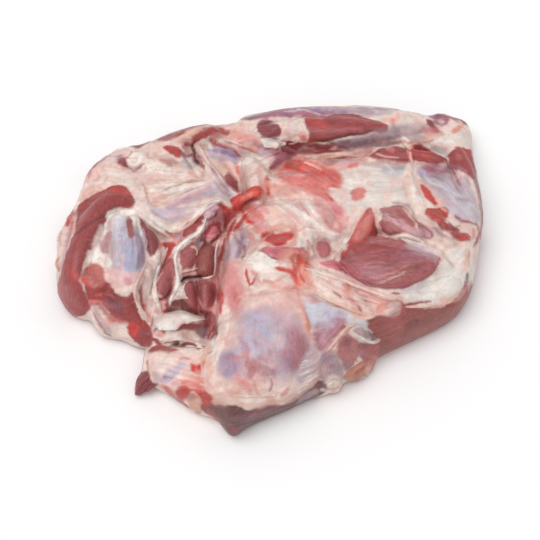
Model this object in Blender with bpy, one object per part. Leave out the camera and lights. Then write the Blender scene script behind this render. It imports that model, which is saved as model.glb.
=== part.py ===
"""Raw boneless veal shoulder, laid open on a table with the side that held the bones up.

The cut is one solid. A slab with the shoulder's outline gets its upper side from muscles and pads of
fat, each a rounded body along a spine. Narrow folds, sinews and seams are then drawn over them, and the
underside is cut flat where it rests.

Sizes and heights are in millimetres. Places are landmarks: where a point of the meat is seen from the
front, VIEW_TILT above the table, counted in steps of SEEN_STEP from the left and from the top, with the
height above the table at which it lies.
"""

import math
from dataclasses import dataclass

import bmesh
import bpy
import numpy as np
from mathutils import Matrix, Vector

NODE = "veal_shoulder"

# Driving dimensions
MEAT_WIDTH = 440.0
SEEN_WIDTH = 427.0
SEEN_STEP = MEAT_WIDTH / SEEN_WIDTH
SEEN_MIDDLE = 270.0
VIEW_TILT = math.radians(55.0)
VIEW_DISTANCE = 2000.0
VIEW_AIM = (-1.5, -18.1, 35.0)
TO_METRES = 0.001

# Slab profile, from the underside up: how far in from the rim, and how high before it is stretched
SLAB_PROFILE = ((10, -4), (3, 5), (0.5, 12), (0, 20), (1.5, 28), (6, 35), (13, 39), (22, 40))
SLAB_HEIGHT = 40.0
RIM_SPACING = 4.0
NORMAL_SPREAD = 4

# Shaping
FLOOR_HEIGHT = 33.0
BLEND = 1.6
BLEND_REACH = 60.0
OUTSIDE_SLOPE = 2.5
TAG_SEGMENTS = 24
CAST_VOXEL = 3.2
SKIN_VOXEL = 2.3
SOFTEN_FACTOR = 0.5
SOFTEN_PASSES = 4
FACES_KEPT = 12600
CUT_TOLERANCE = 1e-4
SHORTEST_SPAN = 1e-9

MEAT_COLOUR = (0.55, 0.19, 0.18, 1.0)
MEAT_ROUGHNESS = 0.38


@dataclass(frozen=True)
class Form:
    """A muscle or pad of fat along a spine of (across, down, height, half width) landmarks.

    Its sides go down by depth. A power of 2 gives a round section, a higher one a flatter top. A soft
    form runs out gently instead.
    """

    name: str
    spine: tuple
    depth: float
    power: float = 2.0
    soft: bool = False


@dataclass(frozen=True)
class Tag:
    """A scrap that sticks out at the rim: an ellipsoid around its landmark, turned about the vertical."""

    name: str
    middle: tuple
    half: tuple
    turn: float


@dataclass(frozen=True)
class Stroke:
    """A narrow fold, sinew or seam: its line of landmarks, half its width, and how far it rises."""

    name: str
    line: tuple
    width: float
    rise: float


# The outline of the slab, clockwise from the left end, as (across, down, height)
RIM = (
    (58, 288, 14), (57, 262, 18), (57, 238, 22), (63, 221, 26), (72, 202, 30), (80, 186, 32),
    (86, 168, 34), (97, 154, 34), (112, 145, 34), (134, 138, 34), (158, 130, 36), (182, 122, 38),
    (208, 114, 40), (236, 111, 42), (262, 107, 42), (290, 102, 44), (320, 101, 44), (350, 101, 44),
    (380, 102, 42), (408, 105, 40), (424, 105, 38), (433, 107, 36), (441, 104, 36), (453, 108, 36),
    (467, 114, 34), (473, 124, 32), (474, 150, 30), (478, 170, 28), (483, 195, 26), (484, 216, 24),
    (481, 238, 20), (478, 256, 18), (475, 276, 14), (469, 297, 10), (459, 315, 8), (443, 328, 6),
    (421, 340, 4), (399, 351, 4), (381, 359, 4), (366, 374, 4), (348, 385, 4), (330, 397, 4),
    (312, 402, 4), (290, 413, 4), (268, 422, 4), (250, 430, 4), (235, 440, 4), (228, 437, 4),
    (220, 428, 4), (207, 419, 4), (193, 415, 4), (179, 405, 5), (166, 396, 6), (154, 388, 6),
    (144, 378, 8), (144, 364, 9), (146, 353, 10), (152, 347, 10), (139, 348, 8), (122, 341, 8),
    (104, 338, 8), (94, 329, 8), (89, 320, 8), (79, 319, 10), (67, 309, 12),
)

TAGS = (
    Tag("tail_flap", (145, 380, 13), (12, 9, 8), 60),
    Tag("tail_tip", (140, 388, 9), (8, 5, 6), 70),
    Tag("tail_point", (137, 392, 6), (5, 3, 4), 35),
    Tag("front_scrap", (361, 370, 10), (17, 8, 9), 40),
    Tag("fat_tag", (334, 386, 9), (8, 8, 8), 0),
)

FORMS = (
    # The big middle muscle under its membrane, and what leans on it at the front and right
    Form(
        "dome",
        ((286, 296, 84, 40), (272, 320, 88, 56), (258, 348, 80, 60), (250, 376, 62, 54)),
        50,
        2.2,
    ),
    Form("dome_shoulder", ((306, 300, 80, 34), (330, 330, 66, 42), (322, 360, 50, 44)), 40, 2.4),
    Form("dome_front", ((222, 402, 38, 24), (266, 396, 42, 34), (316, 380, 40, 32)), 18, 4.0),
    Form("corner_muscle", ((336, 332, 64, 16), (352, 344, 58, 22), (368, 352, 46, 18)), 26, 2.2),
    # The knot between the hollow and the blade side
    Form("knot", ((306, 206, 72, 50), (286, 236, 80, 54), (266, 262, 84, 46)), 44, soft=True),
    Form("knot_core", ((298, 222, 74, 30), (280, 244, 80, 30), (262, 264, 81, 26)), 36, 2.0),
    Form("knot_back", ((262, 182, 64, 26), (300, 178, 69, 38), (336, 182, 69, 38)), 30, soft=True),
    Form("knot_lump", ((250, 264, 84, 15), (270, 266, 88, 20), (292, 266, 87, 15)), 14, soft=True),
    Form("marbled_fat", ((262, 208, 75, 18), (290, 207, 80, 24), (322, 210, 77, 22)), 16, soft=True),
    Form(
        "gash_lip",
        ((232, 204, 62, 5), (244, 196, 67, 6), (258, 188, 70, 6), (266, 174, 69, 5)),
        12,
        2.0,
    ),
    # The blade side on the right
    Form("blade_plate", ((350, 190, 68, 52), (392, 190, 70, 58), (428, 202, 66, 52)), 30, 3.0),
    Form(
        "blade_muscle",
        ((352, 240, 77, 10), (364, 252, 83, 24), (390, 264, 86, 31), (422, 262, 81, 22)),
        24,
        2.2,
    ),
    Form("blade_point", ((372, 214, 78, 7), (362, 232, 81, 10), (352, 250, 82, 12)), 14, 2.0),
    Form("blade_upper", ((384, 216, 77, 9), (396, 222, 79, 13), (414, 226, 77, 10)), 12, 2.0),
    Form(
        "blade_sinew",
        ((372, 238, 84, 4), (398, 240, 83, 6), (432, 248, 79, 7), (446, 262, 74, 6)),
        10,
        2.0,
    ),
    Form("mauve_strip", ((322, 262, 78, 12), (345, 272, 79, 14), (368, 284, 76, 10)), 16, 2.2),
    Form(
        "blade_band",
        ((352, 302, 66, 20), (392, 298, 66, 28), (432, 292, 62, 28), (460, 268, 60, 26)),
        30,
        3.4,
    ),
    Form("blade_wall", ((378, 328, 46, 20), (420, 318, 48, 26), (456, 300, 44, 24)), 26, 4.0),
    Form("blade_end", ((452, 176, 60, 28), (460, 214, 60, 32), (454, 250, 60, 30)), 30, 3.0),
    Form("end_lump_a", ((420, 212, 71, 6), (433, 214, 74, 8), (444, 222, 74, 7)), 12, 2.0),
    Form("end_lump_b", ((440, 228, 72, 6), (452, 234, 73, 7)), 12, 2.0),
    Form("end_lump_c", ((460, 232, 68, 6), (468, 242, 66, 8), (462, 248, 66, 6)), 14, 2.0),
    Form("end_spot", ((421, 186, 71, 5), (430, 200, 73, 6)), 8, 2.0),
    Form("end_rim", ((474, 222, 52, 9), (477, 240, 50, 10), (471, 256, 50, 9)), 18, 2.0),
    Form("cream_strip", ((404, 162, 72, 7), (411, 186, 76, 9), (418, 208, 74, 8)), 10, 2.0),
    Form(
        "back_band",
        ((364, 158, 62, 8), (386, 153, 67, 11), (412, 152, 68, 10), (444, 156, 66, 11)),
        22,
        2.0,
    ),
    Form("back_skin", ((306, 160, 58, 8), (345, 162, 64, 10), (398, 168, 68, 8)), 14, 2.0),
    # The long roll at the back
    Form(
        "roll",
        ((262, 128, 54, 18), (300, 124, 60, 24), (345, 124, 63, 26), (388, 128, 58, 18)),
        36,
        2.0,
    ),
    Form(
        "roll_skin",
        ((250, 114, 46, 16), (320, 108, 52, 24), (380, 112, 52, 24), (420, 120, 48, 20)),
        26,
        2.4,
    ),
    Form("roll_lower", ((332, 143, 48, 9), (375, 139, 52, 11), (420, 136, 52, 12)), 20, 2.0),
    Form("roll_fat", ((268, 132, 57, 10), (284, 126, 62, 14), (300, 122, 62, 12)), 14, 2.0),
    Form("corner_fat", ((412, 122, 50, 16), (436, 128, 52, 22), (458, 138, 50, 24)), 22, 2.6),
    Form("corner_tip", ((443, 118, 54, 6), (454, 120, 55, 8), (464, 128, 52, 8)), 16, 2.0),
    Form("corner_side", ((458, 150, 58, 12), (466, 170, 57, 15), (474, 196, 50, 14)), 26, 2.2),
    # The left lobe
    Form("shank_body", ((112, 226, 54, 44), (104, 268, 54, 48), (110, 300, 44, 42)), 30, 3.0),
    Form(
        "crescent",
        ((123, 196, 58, 10), (106, 199, 64, 16), (90, 222, 66, 20), (78, 252, 64, 21), (73, 286, 54, 17)),
        32,
        2.0,
    ),
    Form(
        "oval",
        ((116, 214, 62, 12), (123, 238, 70, 21), (126, 262, 70, 22), (128, 286, 62, 14)),
        28,
        2.1,
    ),
    Form("shank_edge", ((72, 214, 52, 8), (62, 240, 46, 10), (58, 266, 40, 10)), 22, 2.0),
    Form("pink_lobe", ((86, 278, 60, 12), (98, 284, 58, 11)), 20, 2.0),
    Form("shank_foot", ((88, 304, 42, 20), (112, 316, 38, 26), (138, 326, 32, 20)), 24, 2.6),
    Form("foot_muscle", ((96, 296, 52, 12), (116, 306, 46, 14), (136, 314, 38, 12)), 20, 2.0),
    Form("side_muscle", ((144, 226, 54, 7), (151, 242, 52, 9), (152, 260, 47, 8)), 16, 2.0),
    Form(
        "shank_sinew",
        ((148, 256, 48, 3), (140, 275, 48, 5), (135, 294, 44, 5), (142, 316, 36, 4)),
        10,
        2.0,
    ),
    # The plate and the pocket at the upper left
    Form(
        "neck_plate",
        ((104, 176, 42, 34), (140, 172, 46, 42), (186, 170, 48, 40), (212, 168, 49, 30)),
        20,
        3.4,
    ),
    Form("neck_rise", ((130, 186, 50, 22), (170, 188, 54, 26), (206, 186, 53, 20)), 14, soft=True),
    Form(
        "neck_ledge",
        ((140, 202, 52, 12), (166, 213, 56, 15), (196, 209, 56, 12), (218, 200, 54, 8)),
        20,
        2.2,
    ),
    Form(
        "neck_lumps",
        ((110, 166, 46, 8), (122, 158, 50, 9), (138, 153, 50, 9), (152, 152, 48, 8)),
        14,
        2.0,
    ),
    Form("neck_spot", ((116, 160, 52, 4), (126, 162, 52, 5)), 8, 2.0),
    Form("neck_ridge_a", ((148, 196, 56, 4), (176, 186, 59, 5), (208, 176, 56, 5)), 8, 2.0),
    Form("neck_ridge_b", ((164, 202, 57, 4), (190, 192, 59, 5), (218, 184, 56, 4)), 8, 2.0),
    Form("neck_back", ((150, 144, 40, 12), (180, 133, 46, 15), (208, 127, 48, 14)), 20, 2.2),
    Form("pocket_fat", ((222, 142, 56, 13), (244, 134, 62, 17), (264, 138, 60, 10)), 26, 2.0),
    Form("salmon_strip", ((178, 146, 50, 6), (190, 137, 54, 7), (202, 130, 53, 6)), 12, 2.0),
    Form(
        "pocket_ridge",
        ((194, 148, 54, 4), (204, 163, 60, 6), (220, 178, 63, 6), (238, 192, 63, 5)),
        18,
        2.0,
    ),
    Form("pocket_pad", ((250, 158, 60, 12), (258, 170, 68, 15), (256, 184, 68, 12)), 24, 2.0),
    Form("white_flap", ((262, 146, 62, 5), (276, 142, 62, 6)), 10, 2.0),
    Form("grey_wedge", ((268, 158, 60, 8), (284, 152, 58, 6)), 14, 2.0),
    # The cut muscle ends in the open hollow
    Form("cut_oval_top", ((200, 219, 50, 6), (190, 229, 49, 8), (185, 237, 45, 6)), 16, 2.0),
    Form("cut_oval_mid", ((193, 246, 45, 7), (186, 258, 45, 9), (181, 269, 42, 6)), 14, 2.0),
    Form("cut_oval_low", ((171, 262, 46, 6), (163, 278, 47, 9), (156, 296, 42, 7)), 18, 2.0),
    Form("cut_back", ((216, 224, 49, 5), (209, 240, 46, 7)), 16, 2.0),
    Form("cut_block", ((208, 248, 45, 8), (205, 262, 44, 10), (204, 272, 41, 8)), 14, 2.6),
    Form("cut_stub_left", ((190, 284, 44, 7), (190, 304, 42, 9)), 16, 2.6),
    Form("cut_stub_right", ((207, 284, 45, 8), (208, 306, 42, 10)), 16, 2.6),
    Form("cut_foot", ((168, 305, 38, 7), (182, 308, 38, 7)), 12, 2.0),
    Form(
        "hollow_wall",
        ((226, 228, 58, 9), (236, 248, 66, 10), (230, 280, 66, 12), (224, 320, 62, 12)),
        26,
        2.0,
    ),
    Form(
        "middle_sinew",
        ((202, 219, 52, 3), (194, 236, 50, 4), (178, 248, 49, 4), (175, 266, 47, 4), (180, 288, 45, 4)),
        12,
        2.0,
    ),
    Form(
        "fascia_shelf",
        ((156, 321, 38, 4), (172, 314, 42, 6), (190, 317, 43, 7), (205, 320, 39, 4)),
        14,
        2.4,
    ),
    Form("fascia_lip", ((153, 331, 32, 5), (170, 328, 35, 6), (186, 324, 37, 5)), 10, 2.0),
    # The lump at the lower left
    Form("brisket_top", ((158, 358, 38, 14), (178, 356, 44, 17), (202, 352, 46, 17)), 26, 2.2),
    Form("brisket_body", ((160, 370, 38, 24), (186, 380, 42, 28), (212, 396, 40, 30)), 26, 3.0),
    Form("brisket_fold", ((149, 351, 36, 5), (168, 349, 41, 6), (192, 346, 43, 6)), 12, 2.0),
    Form("brisket_edge", ((176, 392, 36, 10), (194, 402, 34, 10), (208, 410, 32, 9)), 14, 2.0),
    # The fat rope between the middle muscle and the blade side
    Form(
        "fat_rope",
        ((302, 264, 87, 8), (318, 280, 85, 13), (342, 296, 79, 14), (366, 308, 70, 11), (380, 320, 58, 8)),
        22,
        2.0,
    ),
    Form(
        "rope_wrinkle_a",
        ((300, 290, 86, 5), (316, 301, 82, 6), (336, 312, 74, 7), (358, 321, 64, 5)),
        12,
        2.0,
    ),
    Form("rope_wrinkle_b", ((322, 268, 86, 4), (340, 282, 84, 5), (358, 294, 78, 4)), 10, 2.0),
)

STROKES = (
    Stroke(
        "roll_cleft",
        ((276, 137, 50), (288, 146, 46), (312, 149, 44), (345, 150, 44), (372, 147, 46)),
        5,
        -11,
    ),
    Stroke("corner_cleft", ((372, 147, 46), (400, 143, 48), (428, 144, 50), (450, 148, 50)), 4, -9),
    Stroke("back_sinew", ((408, 140, 54), (410, 152, 66), (411, 164, 70)), 3, 4),
    Stroke("side_cleft", ((448, 160, 58), (455, 174, 58), (461, 190, 58)), 3.5, -9),
    Stroke(
        "hollow_left",
        ((158, 232, 40), (167, 246, 38), (152, 282, 36), (146, 306, 32), (150, 330, 26)),
        4,
        -5,
    ),
    Stroke(
        "hollow_right",
        ((220, 216, 50), (224, 240, 44), (218, 270, 40), (214, 300, 38), (212, 330, 36)),
        5,
        -12,
    ),
    Stroke("ledge_gap", ((140, 216, 44), (158, 232, 40), (178, 228, 40), (200, 222, 42)), 3.5, -8),
    Stroke("stub_slit", ((182, 279, 38), (194, 278, 37), (207, 277, 38)), 3, -14),
    Stroke("stub_fold", ((197, 282, 42), (199, 308, 40)), 3, -9),
    Stroke("shelf_slit", ((160, 311, 34), (186, 312, 34), (210, 313, 36)), 3, -9),
    Stroke("shelf_hollow", ((190, 331, 34), (206, 333, 34)), 7, -15),
    Stroke("shelf_hole", ((170, 343, 34), (182, 343, 34)), 4, -10),
    Stroke("knot_slit", ((220, 208, 58), (240, 205, 62), (254, 199, 68)), 3.5, -13),
    Stroke("knot_split", ((262, 172, 66), (264, 190, 68)), 3, -6),
    Stroke("wound", ((266, 241, 80), (276, 240, 80), (286, 240, 80)), 3.5, -7),
    Stroke("wound_lip", ((262, 249, 84), (280, 252, 84), (296, 248, 82)), 4, 2),
    Stroke("knot_furrow", ((296, 228, 78), (308, 244, 80), (308, 262, 82)), 4.5, -4),
    Stroke("lump_furrow", ((246, 284, 82), (262, 290, 84), (290, 286, 84)), 4.5, -6),
    Stroke("spot_pit", ((250, 268, 84), (252, 284, 84)), 3.5, -5),
    Stroke("pocket_crevice", ((184, 147, 48), (192, 158, 50), (202, 174, 50)), 4, -12),
    Stroke("pocket_gap", ((226, 158, 52), (238, 170, 54), (244, 194, 56)), 4, -10),
    Stroke("neck_crevice", ((126, 168, 46), (144, 168, 46)), 3, -7),
    Stroke("neck_fold", ((138, 176, 50), (146, 192, 50), (154, 204, 52)), 3, -6),
    Stroke("neck_fold_back", ((150, 156, 44), (168, 152, 44), (184, 144, 46)), 3.5, -6),
    Stroke(
        "crescent_edge",
        ((130, 208, 58), (110, 214, 58), (101, 232, 58), (91, 256, 58), (86, 270, 56)),
        3.5,
        -8,
    ),
    Stroke("foot_edge", ((86, 294, 50), (104, 292, 52), (128, 302, 46), (140, 304, 40)), 3.5, -6),
    Stroke("oval_slit", ((128, 220, 66), (132, 236, 68)), 2.5, -5),
    Stroke("oval_crease", ((138, 218, 60), (145, 244, 60), (142, 272, 58)), 3, -6),
    Stroke("oval_fold", ((112, 226, 66), (112, 246, 68)), 3, -3),
    Stroke(
        "muscle_edge",
        ((338, 256, 76), (350, 276, 74), (380, 291, 70), (414, 290, 68), (440, 268, 70)),
        4,
        -7,
    ),
    Stroke("muscle_top", ((346, 244, 74), (356, 226, 74), (370, 208, 73)), 4, -6),
    Stroke("muscle_fibre_a", ((356, 262, 84), (384, 276, 84), (416, 276, 80)), 3, -2),
    Stroke("muscle_fibre_b", ((360, 250, 86), (390, 258, 88), (428, 262, 82)), 3, -2),
    Stroke("wall_seam", ((374, 320, 48), (400, 306, 52), (446, 300, 50)), 3, -6),
    Stroke("blade_furrow", ((424, 168, 70), (434, 194, 70), (448, 214, 66)), 4, -5),
    Stroke("blade_fold", ((340, 186, 70), (372, 180, 72), (398, 186, 72)), 5, -3),
    Stroke("lump_seam", ((152, 347, 20), (166, 343, 24), (190, 345, 36), (208, 348, 38)), 3.5, -10),
    Stroke("brisket_crease", ((198, 366, 46), (206, 382, 44), (204, 400, 38)), 5, -6),
    Stroke("brisket_pit", ((160, 362, 40), (176, 366, 44)), 6, -3),
    Stroke("swirl_outer", ((318, 386, 36), (322, 366, 48), (338, 357, 52)), 3.5, -5),
    Stroke("swirl_inner", ((326, 384, 34), (330, 370, 42), (340, 365, 44)), 3, 3),
    Stroke("corner_fold", ((346, 330, 62), (362, 336, 58), (376, 346, 50)), 3.5, -5),
    Stroke("dome_foot", ((205, 406, 34), (236, 406, 38), (280, 400, 38), (316, 385, 36)), 4, -5),
    Stroke("dome_crease_a", ((244, 392, 52), (262, 366, 70), (290, 340, 80)), 7, -2),
    Stroke("dome_crease_b", ((296, 386, 46), (306, 356, 60), (316, 330, 70)), 6, -3),
)


def seen(across, down, height):
    """The point at this height that is seen at this place from the front."""
    sine, cosine = math.sin(VIEW_TILT), math.cos(VIEW_TILT)
    right = (across - SEEN_MIDDLE) * SEEN_STEP
    up = (SEEN_MIDDLE - down) * SEEN_STEP
    eye = Vector((0.0, -cosine * VIEW_DISTANCE, sine * VIEW_DISTANCE)) + Vector(VIEW_AIM)
    sight = Vector((right, up * sine + cosine * VIEW_DISTANCE, up * cosine - sine * VIEW_DISTANCE))
    return eye + sight * ((height - eye.z) / sight.z)


def smooth_line(points, spacing, closed):
    """Evenly spaced points on a Catmull-Rom curve through these points of any dimension."""
    count = len(points)
    spans = count if closed else count - 1
    made = []
    for i in range(spans):
        if closed:
            a, b, c, d = (points[(i + k) % count] for k in (-1, 0, 1, 2))
        else:
            a, b, c, d = (points[min(max(i + k, 0), count - 1)] for k in (-1, 0, 1, 2))
        steps = max(1, round(math.hypot(*(c - b)[:2]) / spacing))
        for step in range(steps):
            t = step / steps
            curve = (2 * a - 5 * b + 4 * c - d) * t**2 + (3 * b - a - 3 * c + d) * t**3
            made.append((2 * b + (c - a) * t + curve) / 2)
    if not closed:
        made.append(points[-1])
    return np.array(made)


def inward_normals(loop):
    """The inward direction at each point of a clockwise loop, averaged over its neighbours."""
    ahead = np.roll(loop, -1, axis=0) - np.roll(loop, 1, axis=0)
    normals = np.c_[ahead[:, 1], -ahead[:, 0]]
    spread = sum(np.roll(normals, k, axis=0) for k in range(-NORMAL_SPREAD, NORMAL_SPREAD + 1))
    return spread / np.hypot(*spread.T)[:, None]


def slab_mesh():
    """Rings of the outline, moved in and up as SLAB_PROFILE says, bridged and capped."""
    rim = [np.array(seen(*place))[:2] for place in RIM]
    loop = smooth_line(rim, RIM_SPACING, closed=True)
    normals = inward_normals(loop)
    mesh = bmesh.new()
    rings = []
    for inset, height in SLAB_PROFILE:
        ring = [(*place, height) for place in loop + normals * inset]
        rings.append([mesh.verts.new(place) for place in ring])
    for low, high in zip(rings, rings[1:]):
        for i in range(len(loop)):
            mesh.faces.new((low[i - 1], high[i - 1], high[i], low[i]))
    mesh.faces.new(rings[0])
    mesh.faces.new(list(reversed(rings[-1])))
    for tag in TAGS:
        turn = Matrix.Rotation(math.radians(tag.turn), 4, "Z")
        placed = Matrix.Translation(seen(*tag.middle)) @ turn @ Matrix.Diagonal((*tag.half, 1.0))
        bmesh.ops.create_uvsphere(
            mesh, u_segments=TAG_SEGMENTS, v_segments=TAG_SEGMENTS // 2, radius=1.0, matrix=placed
        )
    return mesh


def apply_modifiers(obj):
    """Replaces the object's mesh by its evaluated one."""
    bpy.context.view_layer.update()
    graph = bpy.context.evaluated_depsgraph_get()
    made = bpy.data.meshes.new_from_object(obj.evaluated_get(graph), depsgraph=graph)
    obj.modifiers.clear()
    obj.data = made


def reskin(obj, voxel, passes):
    """Covers the object with an even skin, softened a little."""
    skin = obj.modifiers.new("skin", "REMESH")
    skin.mode = "VOXEL"
    skin.voxel_size = voxel
    if passes:
        soften = obj.modifiers.new("soften", "SMOOTH")
        soften.factor = SOFTEN_FACTOR
        soften.iterations = passes
    apply_modifiers(obj)


def vertex_values(mesh, name):
    """A vector value of every vertex as an array of rows."""
    values = np.empty(len(mesh.vertices) * 3)
    mesh.vertices.foreach_get(name, values)
    return values.reshape(-1, 3)


def form_height(points, form):
    """How high this form stands over each point in plan."""
    spine = [np.array((*seen(u, v, h)[:2], h, w)) for u, v, h, w in form.spine]
    line = smooth_line(spine, RIM_SPACING, closed=False)
    best = np.full(len(points), -np.inf)
    for start, end in zip(line, line[1:]):
        span = end - start
        away = points - start[:2]
        along = np.clip(away @ span[:2] / max(span[:2] @ span[:2], SHORTEST_SPAN), 0.0, 1.0)
        gap = np.hypot(*(away - along[:, None] * span[:2]).T)
        width = start[3] + along * span[3]
        reach = gap / width
        near = np.clip(reach, 0.0, 1.0)
        if form.soft:
            inside = (1.0 - near**2) ** 2
        else:
            inside = np.clip(1.0 - near**form.power, 0.0, 1.0) ** (1.0 / form.power)
        beyond = np.clip(reach - 1.0, 0.0, None) * width * OUTSIDE_SLOPE
        best = np.maximum(best, start[2] + along * span[2] - form.depth * (1.0 - inside) - beyond)
    return best


def surface_height(points):
    """The height of the upper side over each point: the highest form, blended at the creases."""
    total = np.ones(len(points))
    for form in FORMS:
        total += np.exp(np.clip((form_height(points, form) - FLOOR_HEIGHT) / BLEND, -BLEND_REACH, BLEND_REACH))
    return FLOOR_HEIGHT + BLEND * np.log(total)


def line_distance(points, line):
    """The distance in plan from each point to a line of points."""
    nearest = np.full(len(points), np.inf)
    for start, end in zip(line, line[1:]):
        span = end - start
        away = points - start
        along = np.clip(away @ span / max(span @ span, SHORTEST_SPAN), 0.0, 1.0)
        nearest = np.minimum(nearest, np.hypot(*(away - along[:, None] * span).T))
    return nearest


def raise_forms(obj):
    """Stretches the slab upward until its top follows the forms, then draws the strokes."""
    places = vertex_values(obj.data, "co")
    top = surface_height(places[:, :2])
    for stroke in STROKES:
        line = smooth_line([np.array(seen(*place))[:2] for place in stroke.line], RIM_SPACING, closed=False)
        reach = line_distance(places[:, :2], line) / stroke.width
        top += stroke.rise * np.exp(-(reach**2))
    places[:, 2] *= top / SLAB_HEIGHT
    obj.data.vertices.foreach_set("co", places.ravel())
    obj.data.update()


def thin_out(obj):
    """Fewer faces, most of them where the surface bends."""
    thin = obj.modifiers.new("thin", "DECIMATE")
    thin.use_collapse_triangulate = True
    thin.ratio = FACES_KEPT / (2 * len(obj.data.polygons))
    apply_modifiers(obj)


def cut_flat(mesh):
    """Cuts off what lies below the table and closes the cut with one flat face."""
    everything = mesh.verts[:] + mesh.edges[:] + mesh.faces[:]
    cut = bmesh.ops.bisect_plane(
        mesh, geom=everything, dist=CUT_TOLERANCE, plane_co=(0, 0, 0), plane_no=(0, 0, -1), clear_outer=True
    )
    edges = [e for e in cut["geom_cut"] if isinstance(e, bmesh.types.BMEdge)]
    bmesh.ops.holes_fill(mesh, edges=edges, sides=0)


def centre_on_table(mesh):
    """Puts the origin under the middle of the meat, and turns millimetres into metres."""
    places = np.array([v.co for v in mesh.verts])
    middle = (places.min(axis=0) + places.max(axis=0)) / 2
    middle[2] = places[:, 2].min()
    bmesh.ops.translate(mesh, vec=-Vector(middle), verts=mesh.verts)
    bmesh.ops.scale(mesh, vec=(TO_METRES,) * 3, verts=mesh.verts)


def meat_material():
    """The plain red of raw veal, a little wet."""
    material = bpy.data.materials.new("raw_veal")
    material.use_nodes = True
    shader = material.node_tree.nodes["Principled BSDF"]
    shader.inputs["Base Color"].default_value = MEAT_COLOUR
    shader.inputs["Roughness"].default_value = MEAT_ROUGHNESS
    shader.inputs["Metallic"].default_value = 0.0
    return material


def build_shoulder():
    """The whole cut as one named object."""
    data = bpy.data.meshes.new(NODE)
    mesh = slab_mesh()
    mesh.to_mesh(data)
    mesh.free()
    obj = bpy.data.objects.new(NODE, data)
    bpy.context.scene.collection.objects.link(obj)
    reskin(obj, CAST_VOXEL, 0)
    raise_forms(obj)
    reskin(obj, SKIN_VOXEL, SOFTEN_PASSES)
    thin_out(obj)
    mesh = bmesh.new()
    mesh.from_mesh(obj.data)
    cut_flat(mesh)
    centre_on_table(mesh)
    mesh.to_mesh(obj.data)
    mesh.free()
    obj.data.materials.clear()
    obj.data.materials.append(meat_material())
    obj.data.shade_smooth()
    return obj


def main():
    """Clears the scene and builds the shoulder."""
    for old in list(bpy.data.objects):
        bpy.data.objects.remove(old)
    build_shoulder()


main()
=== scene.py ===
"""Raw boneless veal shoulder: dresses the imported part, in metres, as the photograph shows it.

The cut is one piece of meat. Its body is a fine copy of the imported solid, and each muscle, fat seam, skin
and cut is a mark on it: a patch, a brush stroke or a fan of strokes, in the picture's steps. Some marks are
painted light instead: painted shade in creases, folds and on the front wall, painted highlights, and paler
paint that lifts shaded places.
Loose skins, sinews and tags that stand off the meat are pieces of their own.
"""
import logging
import math
import re
from collections.abc import Callable
from dataclasses import dataclass
from enum import Enum
from functools import cached_property
from itertools import product

import bpy
import numpy as np
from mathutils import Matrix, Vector
from mathutils.bvhtree import BVHTree


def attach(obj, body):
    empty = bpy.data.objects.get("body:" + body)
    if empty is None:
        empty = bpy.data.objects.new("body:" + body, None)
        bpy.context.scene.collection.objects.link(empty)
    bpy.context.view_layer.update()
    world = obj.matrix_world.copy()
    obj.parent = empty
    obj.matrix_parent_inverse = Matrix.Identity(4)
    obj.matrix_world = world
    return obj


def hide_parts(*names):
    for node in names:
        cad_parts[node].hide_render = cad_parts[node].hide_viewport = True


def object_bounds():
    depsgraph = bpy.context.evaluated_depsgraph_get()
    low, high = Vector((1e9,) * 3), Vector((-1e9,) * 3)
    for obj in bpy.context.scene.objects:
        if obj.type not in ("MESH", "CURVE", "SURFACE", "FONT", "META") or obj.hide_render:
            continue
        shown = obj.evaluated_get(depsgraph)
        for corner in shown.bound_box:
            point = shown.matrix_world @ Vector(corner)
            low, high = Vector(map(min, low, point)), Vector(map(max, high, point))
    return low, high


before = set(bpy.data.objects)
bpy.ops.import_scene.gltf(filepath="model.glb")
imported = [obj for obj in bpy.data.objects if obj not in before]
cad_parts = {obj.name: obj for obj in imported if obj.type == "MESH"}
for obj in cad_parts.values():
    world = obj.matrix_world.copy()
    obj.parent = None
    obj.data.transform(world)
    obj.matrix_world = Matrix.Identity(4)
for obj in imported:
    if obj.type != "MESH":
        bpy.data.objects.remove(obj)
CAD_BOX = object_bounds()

LOG = logging.getLogger("veal_shoulder")

NODE = "veal_shoulder"
BODY = "root"
MM = 0.001
TINY = 1e-9

Pair = tuple[float, float]
Three = tuple[float, float, float]

# Strength, lump size and seed of noises that are added up.
Layers = tuple[tuple[float, float, int], ...]

# Factors that scramble a noise's cells and its seed.
CELL_FACTORS = (73856093, 19349663, 83492791)
SEED_FACTOR = 2654435
LAST_FACTOR = 1274126177

# How far the edge of a mark frays and how long and wide the frays are, in picture steps, and their noises.
COMB = 1.1
COMB_TOOTH = (9.0, 2.2)
COMB_LAYERS: Layers = ((0.7, 1.0, 61), (0.3, 0.45, 62))

# A stroke's soft edge in steps, and what its half width adds; how much it thins at its ends; how it frays.
STROKE_SOFT = 1.2
STROKE_SOFTER = 0.5
STROKE_ENDS = 0.5
STROKE_FRAY = 0.4

# How far a fan's strokes stray, how much each end may lose and how wide they are, all as shares.
FAN_STRAY = 0.4
FAN_SHORT = 0.35
FAN_WIDTHS = (0.6, 1.3)

# Size of the meat's fibres, in metres.
FIBRE_LENGTH = 0.016
FIBRE_WIDTH = 0.0018


class Feel(Enum):
    """What a tissue is: weights of muscle, fat and skin, and how wide its patches' edges fade, in steps. The
    last feel is that of painted shade in crevices and notches.
    """

    MUSCLE = ((1.0, 0.0, 0.0), 2.2)
    FAT = ((0.0, 1.0, 0.0), 3.4)
    SKIN = ((0.0, 0.0, 1.0), 3.4)
    # Painted shade: the feel of the dark colours laid in crevices and notches.
    GAP = ((0.6, 0.0, 0.0), 1.6)


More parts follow.
